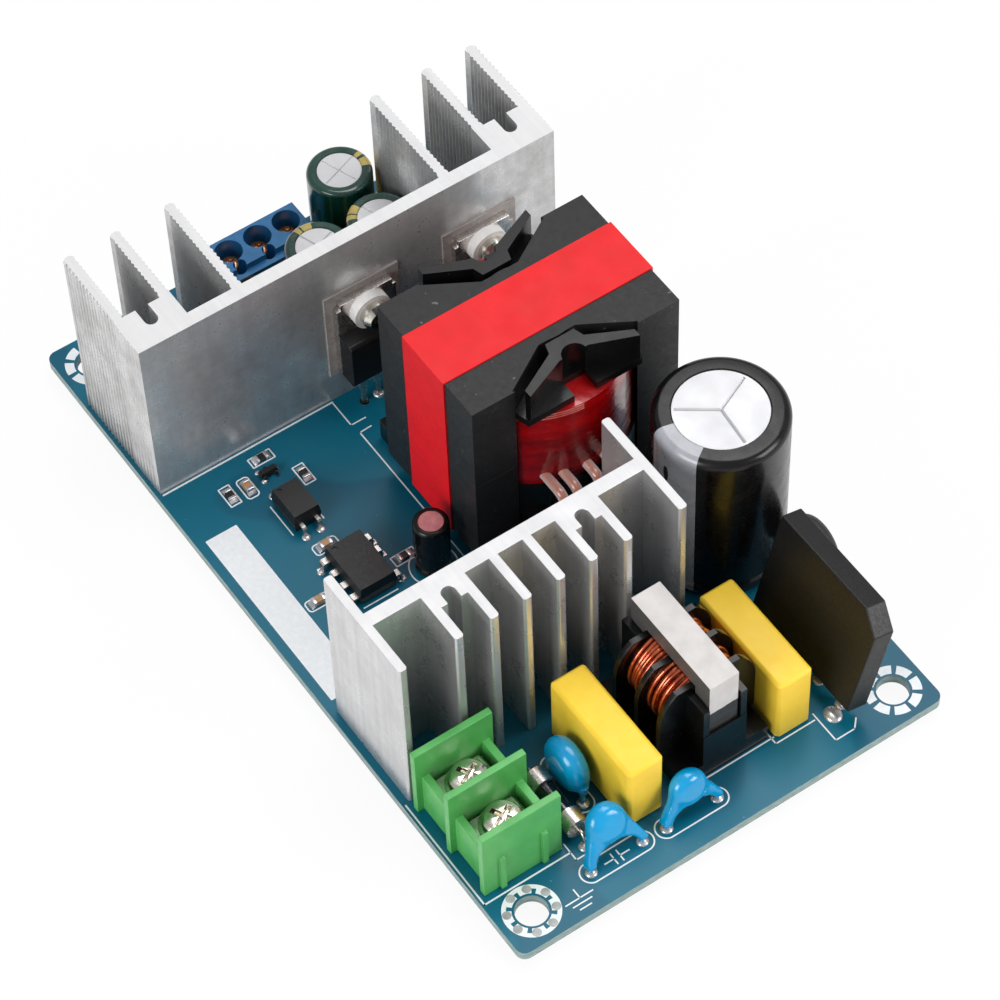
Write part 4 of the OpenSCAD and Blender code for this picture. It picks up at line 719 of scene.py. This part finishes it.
def supplyCan():
    style = {"rim": 0.7, "disc": 1.9, "groove": 3.3, "grooveDepth": 0.18, "rimSteps": 6, "dish": 0.2}
    low, high = boxOf("supply_capacitor")
    x, y = (low.x + high.x) / 2, (low.y + high.y) / 2
    radius, rim, disc, top = (high.x - low.x) / 2, style["rim"], style["disc"], high.z
    profile = [(0, low.z), (radius - 0.3, low.z), (radius, low.z + 0.4), (radius, style["groove"] - 0.3),
               (radius - style["grooveDepth"], style["groove"]), (radius, style["groove"] + 0.3),
               (radius, top - rim)]
    for step in range(1, style["rimSteps"]):
        angle = step * math.pi / (2 * style["rimSteps"] - 1)
        profile.append((radius - rim + rim * math.cos(angle), top - rim + rim * math.sin(angle)))
    profile += [(disc, top - 0.03), (disc - 0.06, top - style["dish"]), (0, top - style["dish"])]
    can = turned((x, y), profile, 64)
    dye(can, look["black_sleeve"], extra["pinkTop"])
    paintFaces(can, 1, lambda point, normal: normal.z > 0.9 and math.hypot(point.x - x, point.y - y) < disc)
    keep(can, "supplyCapacitorCan", ("supply_capacitor",))


minusMark()
supplyCan()
print("stage: capacitor cans")


# ribs on the outer faces of the output heatsink
def outerRibs():
    rib = {"pitch": 0.94, "radius": 0.3, "sunk": 0.16, "margin": 0.7}
    low, high = boxOf("output_heatsink")
    template = begin("cylinder", (0, 0, (low.z + high.z) / 2), vertices=10, radius=rib["radius"],
                     depth=high.z - low.z - 0.1)
    rounded(template, 0.05, 1, 60)
    count = int((high.x - low.x - 2 * rib["margin"]) / rib["pitch"])
    ribs = []
    for y in (low.y + rib["sunk"], high.y - rib["sunk"]):
        for index in range(count + 1):
            ribs.append(copyTo(template, (low.x + rib["margin"] + index * rib["pitch"], y, 0)))
    discard(template)
    strip = joined(ribs)
    dye(strip, extra["scuffed"])
    keep(strip, "outerRibs", smooth=60)


outerRibs()


# terminal screws
def crossScrews(node, name, head):
    # shares of the head's radius and drops below its top
    crown = ((0.97, 0.7), (0.86, 0.3), (0.62, 0.08))
    made = []
    for low, high in looseBoxes(node):
        x, y, base = (low.x + high.x) / 2, (low.y + high.y) / 2, head["base"]
        radius, top = head["radius"], head["base"] + head["height"]
        profile = [(0, base), (head["flange"], base), (head["flange"], base + head["rim"]),
                   (radius, base + head["rim"] + 0.1)]
        profile += [(radius * share, top - drop) for share, drop in crown]
        screw = turned((x, y), profile + [(0, top)], 64)
        bars = []
        for turn in (0, 1):
            bar = begin("cube", (0, 0, 0), size=1,
                        resize=(radius * head["reach"], head["slot"], head["deep"] * 2))
            choose(bar, lambda face: face.calc_center_median().z < 0)
            bpy.ops.transform.resize(value=(0.7, 0.5, 1))
            leaveEdit()
            bar.data.transform(Matrix.Translation(Vector((x, y, top)) * mm)
                               @ Matrix.Rotation(head["turn"] + turn * math.pi / 2, 4, "Z"))
            bars.append(bar)
        cutter = joined(bars)
        addModifier(screw, "BOOLEAN", operation="DIFFERENCE", solver="EXACT", object=cutter, use_self=True)
        discard(cutter)
        rounded(screw, 0.07, 2, 40)
        made.append(screw)
    screws = joined(made)
    dye(screws, head["look"])
    keep(screws, name, (node,), 30)


inputHead = {"base": 7.9, "radius": 2.95, "flange": 3.45, "rim": 0.5, "height": 2.6, "slot": 1.1, "deep": 1.3,
             "reach": 1.55, "turn": 0.5, "look": look["zinc_screw"]}
outputHead = {"base": 7.2, "radius": 1.6, "flange": 1.65, "rim": 0.3, "height": 1.9, "slot": 0.6, "deep": 0.8,
              "reach": 1.5, "turn": 0.2, "look": extra["brass"]}
crossScrews("input_terminal_screws", "inputScrewHeads", inputHead)
crossScrews("output_terminal_screws", "outputScrewHeads", outputHead)
print("stage: terminal screws")


# filter choke strands
def strandedWindings():
    wire = {"radius": 0.34, "perSection": 6, "layer": 0.45, "lean": 0.14, "seed": 0.001, "square": 1.12,
            "coreGap": 0.25}
    turns = []
    for low, high in looseBoxes("choke_windings"):
        middle = (low + high) / 2
        step = (high.x - low.x - 2 * wire["radius"]) / (wire["perSection"] - 1)
        halfY = (high.y - low.y) / 2 - wire["radius"]
        halfZ = (high.z - low.z) / 2 - wire["radius"]
        for index in range(wire["perSection"]):
            sunk = wire["layer"] * shake.random()
            # a hair-thin ring of radius 1, whose tube is then spread to the wire's radius
            ring = begin("torus", (0, 0, 0), (0, math.pi / 2, 0), major_radius=1, minor_radius=wire["seed"],
                         major_segments=56, minor_segments=8)
            place = low.x + wire["radius"] + index * step
            lean = wire["lean"] * (shake.random() - 0.5)
            for vertex in ring.data.vertices:
                point = vertex.co / mm
                around = math.hypot(point.y, point.z)
                flat = Vector((0, point.y / around, point.z / around))
                side = (point - flat) / wire["seed"] * wire["radius"]
                base = Vector((lean * flat.y * halfY, flat.y * (halfY - sunk), flat.z * (halfZ - sunk)))
                base.z = max(-halfZ, min(halfZ, base.z * wire["square"]))
                vertex.co = (base + side + Vector((place, middle.y, middle.z))) * mm
            turns.append(ring)
        core = begin("cylinder", middle, (0, math.pi / 2, 0), vertices=56, radius=1,
                     depth=high.x - low.x - 0.1)
        inner = wire["layer"] + wire["coreGap"]
        for vertex in core.data.vertices:
            vertex.co.y = middle.y * mm + (vertex.co.y - middle.y * mm) * (halfY - inner)
            vertex.co.z = middle.z * mm + (vertex.co.z - middle.z * mm) * (halfZ - inner)
        rounded(core, 0.2)
        turns.append(core)
    strands = joined(turns)
    dye(strands, look["copper_wire"])
    keep(strands, "chokeStrands", ("choke_windings",), 60)


strandedWindings()


def coilWireEnds():
    # fine wires that show above the coil's tape, their copper colour tinted with a painted pink reflection of
    # the red tape
    wires = {"radius": 0.16, "heights": (31.9, 32.35, 32.8), "inset": 0.1}
    low, high = boxOf("transformer_winding")
    middle = (low + high) / 2
    rings = []
    for height in wires["heights"]:
        ring = begin("torus", (middle.x, middle.y, height),
                     major_radius=(high.x - low.x) / 2 - wires["inset"],
                     minor_radius=wires["radius"], major_segments=96, minor_segments=8)
        choose(ring, lambda vertex: vertex.co.y / mm > middle.y, "VERT")
        bpy.ops.mesh.delete(type="VERT")
        bpy.ops.mesh.select_all(action="DESELECT")
        bpy.ops.mesh.select_non_manifold()
        bpy.ops.mesh.edge_face_add()
        leaveEdit()
        rings.append(ring)
    ring = joined(rings)
    dye(ring, extra["copperWireRedReflection"])
    keep(ring, "coilTopWires", smooth=60)


coilWireEnds()
print("stage: windings")


# chip parts
def chipParts(node, name, bodyLook):
    shape = {"cap": 0.52, "edge": 0.07, "trim": (0.1, 0.08, 0.05), "fillet": 0.42, "apron": 0.14,
             "solderHeight": 0.4, "solderToe": 0.06}
    made = []
    for low, high in looseBoxes(node):
        size, middle = high - low, (low + high) / 2
        alongX = size.x > size.y
        length, width = max(size.x, size.y), min(size.x, size.y)
        body = begin("cube", (0, 0, size.z / 2), size=1,
                     resize=(length - shape["trim"][0], width - shape["trim"][1], size.z - shape["trim"][2]))
        rounded(body, shape["edge"])
        dye(body, bodyLook)
        group = [body]
        for side in (-1, 1):
            end = begin("cube", (side * (length - shape["cap"]) / 2, 0, size.z / 2), size=1,
                        resize=(shape["cap"], width, size.z))
            rounded(end, shape["edge"])
            solder = begin("cube", (side * (length + shape["fillet"]) / 2, 0, shape["solderHeight"] / 2),
                           size=1,
                           resize=(shape["fillet"] + 0.1, width + shape["apron"], shape["solderHeight"]))
            for vertex in solder.data.vertices:
                if vertex.co.z > shape["solderHeight"] / 2 * mm and vertex.co.x * side > length / 2 * mm:
                    vertex.co.z = shape["solderToe"] * mm
            rounded(solder, 0.05)
            for piece in (end, solder):
                dye(piece, extra["solder"])
                group.append(piece)
        chip = joined(group)
        chip.data.transform(Matrix.Translation(Vector((middle.x, middle.y, boardTop)) * mm)
                            @ Matrix.Rotation(0 if alongX else math.pi / 2, 4, "Z"))
        made.append(chip)
    keep(joined(made), name, (node,))


chipParts("chip_resistors", "chipResistors", extra["resistorTop"])
chipParts("chip_capacitors", "chipCapacitors", look["chip_ceramic"])
print("stage: chip parts")


# solder on the board's top
def solderTop():
    mound = {"radius": 0.95, "height": 0.42, "near": 1, "leadInset": 0.45, "lead": (0.682, 0.682, 0.3),
             "legSpread": 0.95, "legInset": 0.2, "leg": (0.42, 0.5, 0.3), "pool": (1.5, 1.3, 0.6)}
    centres = [(low + high) / 2 for low, high in looseBoxes("solder_joints")]
    template = begin("uv_sphere", (0, 0, 0), segments=24, ring_count=12, radius=1)
    choose(template, lambda vertex: vertex.co.z < -0.00005, "VERT")
    bpy.ops.mesh.delete(type="VERT")
    leaveEdit()
    mounds = []

    def addMound(x, y, size):
        mounds.append(copyTo(template, (x, y, boardTop), 0, size))

    owners = ("safety_capacitor_1", "safety_capacitor_2", "surge_absorber", "fuse_caps", "inrush_limiter",
              "bridge_leads", "rectifier_left_frame", "rectifier_right_frame", "switching_transistor_frame")
    near = mound["near"]
    for owner in owners:
        low, high = boxOf(owner)
        for centre in centres:
            if low.x - near < centre.x < high.x + near and low.y - near < centre.y < high.y + near:
                radius = mound["radius"] * (0.94 + 0.12 * shake.random())
                height = mound["height"] * (0.8 + 0.4 * shake.random())
                addMound(centre.x, centre.y, (radius, radius, height))
    # the optocoupler's leads leave along X and the controller's along Y
    for leads, body, axis in (("optocoupler_leads", "optocoupler", 0), ("controller_leads", "controller", 1)):
        bodyLow, bodyHigh = boxOf(body)
        middle = (bodyLow + bodyHigh) / 2
        for low, high in looseBoxes(leads):
            foot = (low + high) / 2
            outward = foot[axis] > middle[axis]
            foot[axis] = high[axis] - mound["leadInset"] if outward else low[axis] + mound["leadInset"]
            addMound(foot.x, foot.y, mound["lead"])
    low, high = boxOf("voltage_reference")
    middle = (low + high) / 2
    addMound(middle.x - mound["legSpread"], low.y + mound["legInset"], mound["leg"])
    addMound(middle.x + mound["legSpread"], low.y + mound["legInset"], mound["leg"])
    addMound(middle.x, high.y - mound["legInset"], mound["leg"])
    low, high = boxOf("bridge_leads")
    addMound(high.x - 0.3, low.y - 1.6, mound["pool"])
    discard(template)
    solder = joined(mounds)
    dye(solder, extra["solder"])
    keep(solder, "topSolder", smooth=60)
    return centres


jointCentres = solderTop()


def inSlot(face, x, y, reach):
    # three of the ring's 96 faces in each eighth of a turn
    across = face.calc_center_median() / mm - Vector((x, y, 0))
    angle = math.atan2(across.y, across.x) % (math.pi / 4)
    return angle < 2 * math.pi / 96 * 3 and math.hypot(across.x, across.y) < reach


def mountingRings():
    ring = {"outer": 4.15, "slotEnd": 3.5, "inner": 2.75, "dots": 8, "dot": 0.72, "dotHeight": 0.12,
            "dotLift": 0.03}
    inkRings, dots = [], []
    for signX in (-1, 1):
        for signY in (-1, 1):
            x, y = signX * (boardHalf.x - holeInset), signY * (boardHalf.y - holeInset)
            disc = begin("circle", (x, y, inkTop), vertices=96, radius=ring["outer"], fill_type="NGON")
            choose(disc, lambda face: True)
            bpy.ops.mesh.inset(thickness=(ring["outer"] - ring["slotEnd"]) * mm)
            bpy.ops.mesh.inset(thickness=(ring["slotEnd"] - ring["inner"]) * mm)
            bpy.ops.mesh.delete(type="FACE")
            leaveEdit()
            dotted = signX * signY < 0
            reach = ring["slotEnd"] if dotted else ring["outer"]
            choose(disc, lambda face: inSlot(face, x, y, reach))
            bpy.ops.mesh.delete(type="FACE")
            leaveEdit()
            inkRings.append(disc)
            for index in range(ring["dots"] if dotted else 0):
                angle = (index + 0.5) * 2 * math.pi / ring["dots"]
                middle = (ring["outer"] + ring["inner"]) / 2
                place = (x + middle * math.cos(angle), y + middle * math.sin(angle),
                         boardTop + ring["dotLift"])
                dot = begin("cone", place, vertices=20, radius1=ring["dot"], radius2=ring["dot"] * 0.85,
                            depth=ring["dotHeight"])
                rounded(dot, 0.03)
                dots.append(dot)
    solder = joined(dots)
    dye(solder, extra["dullSolder"])
    keep(solder, "ringSolder")
    return inkRings


# printed outlines
def outline(low, high, corner, width=inkWidth):
    halfX, halfY = (high[0] - low[0]) / 2, (high[1] - low[1]) / 2
    corner = min(corner, halfX, halfY)
    x, y = (low[0] + high[0]) / 2, (low[1] + high[1]) / 2
    piece = begin("circle", (x, y, inkTop), vertices=32, radius=corner, fill_type="NGON")
    middle = Vector((x, y, 0)) * mm
    for vertex in piece.data.vertices:
        across = vertex.co - middle
        vertex.co.x += math.copysign(halfX - corner, across.x + 1e-7) * mm
        vertex.co.y += math.copysign(halfY - corner, across.y + 1e-7) * mm
    choose(piece, lambda face: True)
    if width:
        bpy.ops.mesh.inset(thickness=width * mm)
        bpy.ops.mesh.delete(type="FACE")
    leaveEdit()
    return piece


def line(start, end, width=inkWidth):
    length = math.dist(start, end)
    turn = math.atan2(end[1] - start[1], end[0] - start[0])
    place = ((start[0] + end[0]) / 2, (start[1] + end[1]) / 2, inkTop)
    piece = begin("plane", place, size=1)
    middle = Vector(place) * mm
    piece.data.transform(Matrix.Translation(-middle))
    piece.data.transform(Matrix.Translation(middle) @ Matrix.Rotation(turn, 4, "Z")
                         @ Matrix.Diagonal((length + width, width, 1, 1)))
    return piece


def path(points, width=inkWidth):
    return [line(points[index], points[index + 1], width) for index in range(len(points) - 1)]


# printed strokes beside the parts: the part, the stroke's width, and for each point the side of the
# part's box, 0 low or 1 high, and the distance past it, along X and then along Y
strokes = (
    ("transformer_bobbin", inkWidth, ((0, -2.7, 0, 0), (0, -2.6, 0, -2.0), (1, -9, 0, -2.0))),
    ("transformer_bobbin", inkWidth, ((0, -9.4, 0, -2.3), (0, -4.5, 0, -2.3), (0, -4.5, 0, 0.2))),
    ("optocoupler", inkWidth, ((0, 0.2, 0, -0.35), (1, -0.2, 0, -0.35))),
    ("optocoupler", inkWidth, ((0, 0.2, 1, 0.35), (1, -0.2, 1, 0.35))),
    ("controller", inkWidth, ((0, -0.3, 0, 0.3), (0, -0.3, 1, -0.3))),
    ("controller", inkWidth, ((1, 0.3, 0, 0.3), (1, 0.3, 1, -0.3))),
    ("input_terminal_housing", 0.26, ((0, -0.8, 0, -0.75), (1, 0.6, 0, -0.75), (1, 0.6, 1, 0.6))),
    ("bridge_rectifier", inkWidth, ((1, -4.5, 0, -2.4), (1, 0.8, 0, -2.4), (1, 0.8, 0, 0.9),
                                    (1, -0.5, 0, 2.1))),
    ("choke_bobbin", inkWidth, ((1, 0.35, 0, 0.4), (1, 0.35, 1, 0.2))),
    ("film_capacitor_rear", inkWidth, ((1, -2, 0, -0.4), (1, 0.4, 0, -0.4), (1, 0.4, 1, 0.4))),
    ("fuse_caps", inkWidth, ((1, -2.2, 1, 0.4), (1, 0.8, 1, 0.4), (1, 0.8, 0, -0.4), (1, -2.2, 0, -0.4))),
)


def chipOutlines():
    marks = []
    for node, corner, room in (("chip_resistors", 0.1, 0.62), ("chip_capacitors", 0.7, 0.72)):
        for low, high in looseBoxes(node):
            alongX = high.x - low.x > high.y - low.y
            spare = (room + 0.35, room - 0.25) if alongX else (room - 0.25, room + 0.35)
            marks.append(outline((low.x - spare[0], low.y - spare[1]), (high.x + spare[0], high.y + spare[1]),
                                 corner))
    return marks


def footOutlines():
    # ovals round the two joints of each coated part
    marks = []
    for node, room in (("safety_capacitor_1", 1.75), ("safety_capacitor_2", 1.75), ("surge_absorber", 1.7),
                       ("inrush_limiter", 1.6)):
        low, high = boxOf(node)
        inward = (low.x + high.x) / 2 if node.startswith("safety") else low.x - 0.5
        feet = [centre for centre in jointCentres
                if inward < centre.x < high.x + 0.5 and low.y - 0.5 < centre.y < high.y + 0.5]
        left = (min(foot.x for foot in feet) - room, min(foot.y for foot in feet) - room)
        right = (max(foot.x for foot in feet) + room, max(foot.y for foot in feet) + room)
        marks.append(outline(left, right, room))
    return marks


def capacitorSign():
    sign = {"inset": 0.8, "plateHalf": 0.9, "gapHalf": 0.5, "reach": 2.0}
    low, high = boxOf("safety_capacitor_1")
    x, y = high.x - sign["inset"], (low.y + high.y) / 2
    marks = []
    for side in (-1, 1):
        plateY = y + side * sign["gapHalf"]
        marks.append(line((x - sign["plateHalf"], plateY), (x + sign["plateHalf"], plateY)))
        marks.append(line((x, plateY), (x, y + side * sign["reach"])))
    return marks


def earthSign():
    sign = {"stem": (0.6, 2.1), "stemY": 6.5, "barY": 6.4, "width": 0.2,
            "bars": ((2.1, 2.2), (2.9, 1.5), (3.7, 0.9))}
    x, y = boardHalf.x - holeInset, holeInset - boardHalf.y
    marks = [line((x + sign["stem"][0], y + sign["stemY"]), (x + sign["stem"][1], y + sign["stemY"]),
                  sign["width"])]
    for step, half in sign["bars"]:
        marks.append(line((x + step, y + sign["barY"] - half), (x + step, y + sign["barY"] + half),
                          sign["width"]))
    return marks


def boardPrint():
    label = {"low": (-20.0, -34.5), "high": (13.6, -29.2), "corner": 0.15}
    seat = {"gap": 0.35, "inset": 0.3, "stop": 2.3, "width": 0.3}
    marks = mountingRings() + chipOutlines() + footOutlines() + capacitorSign() + earthSign()
    for node, width, points in strokes:
        box = boxOf(node)
        marks += path([(box[sideX].x + pastX, box[sideY].y + pastY) for sideX, pastX, sideY, pastY in points],
                      width)
    low, high = boxOf("output_heatsink")
    marks.append(line((high.x + seat["gap"], low.y + seat["inset"]),
                      (high.x + seat["gap"], boxOf("transformer_bobbin")[0].y - seat["stop"]), seat["width"]))
    low, high = boxOf("supply_capacitor")
    marks.append(outline((low.x - 1.0, low.y - 1.0), (high.x + 1.0, high.y + 1.0), 10))
    marks.append(outline(label["low"], label["high"], label["corner"], 0))
    ink = joined(marks)
    addModifier(ink, "SOLIDIFY", thickness=0.00002, offset=1)
    dye(ink, extra["ink"])
    keep(ink, "boardPrint")


boardPrint()
print("stage: solder and board print")


# fuse band
def fuseBand():
    band = {"length": 0.9, "proud": 0.05}
    low, high = boxOf("fuse_glass")
    middle = (low + high) / 2
    ring = begin("cylinder", (high.x - 0.5, middle.y, middle.z), (0, math.pi / 2, 0), vertices=48,
                 radius=(high.z - low.z) / 2 + band["proud"], depth=band["length"], end_fill_type="NOTHING")
    addModifier(ring, "SOLIDIFY", thickness=0.00004, offset=0)
    dye(ring, extra["amber"])
    keep(ring, "fuseBand")


fuseBand()
print("stage: fuse")
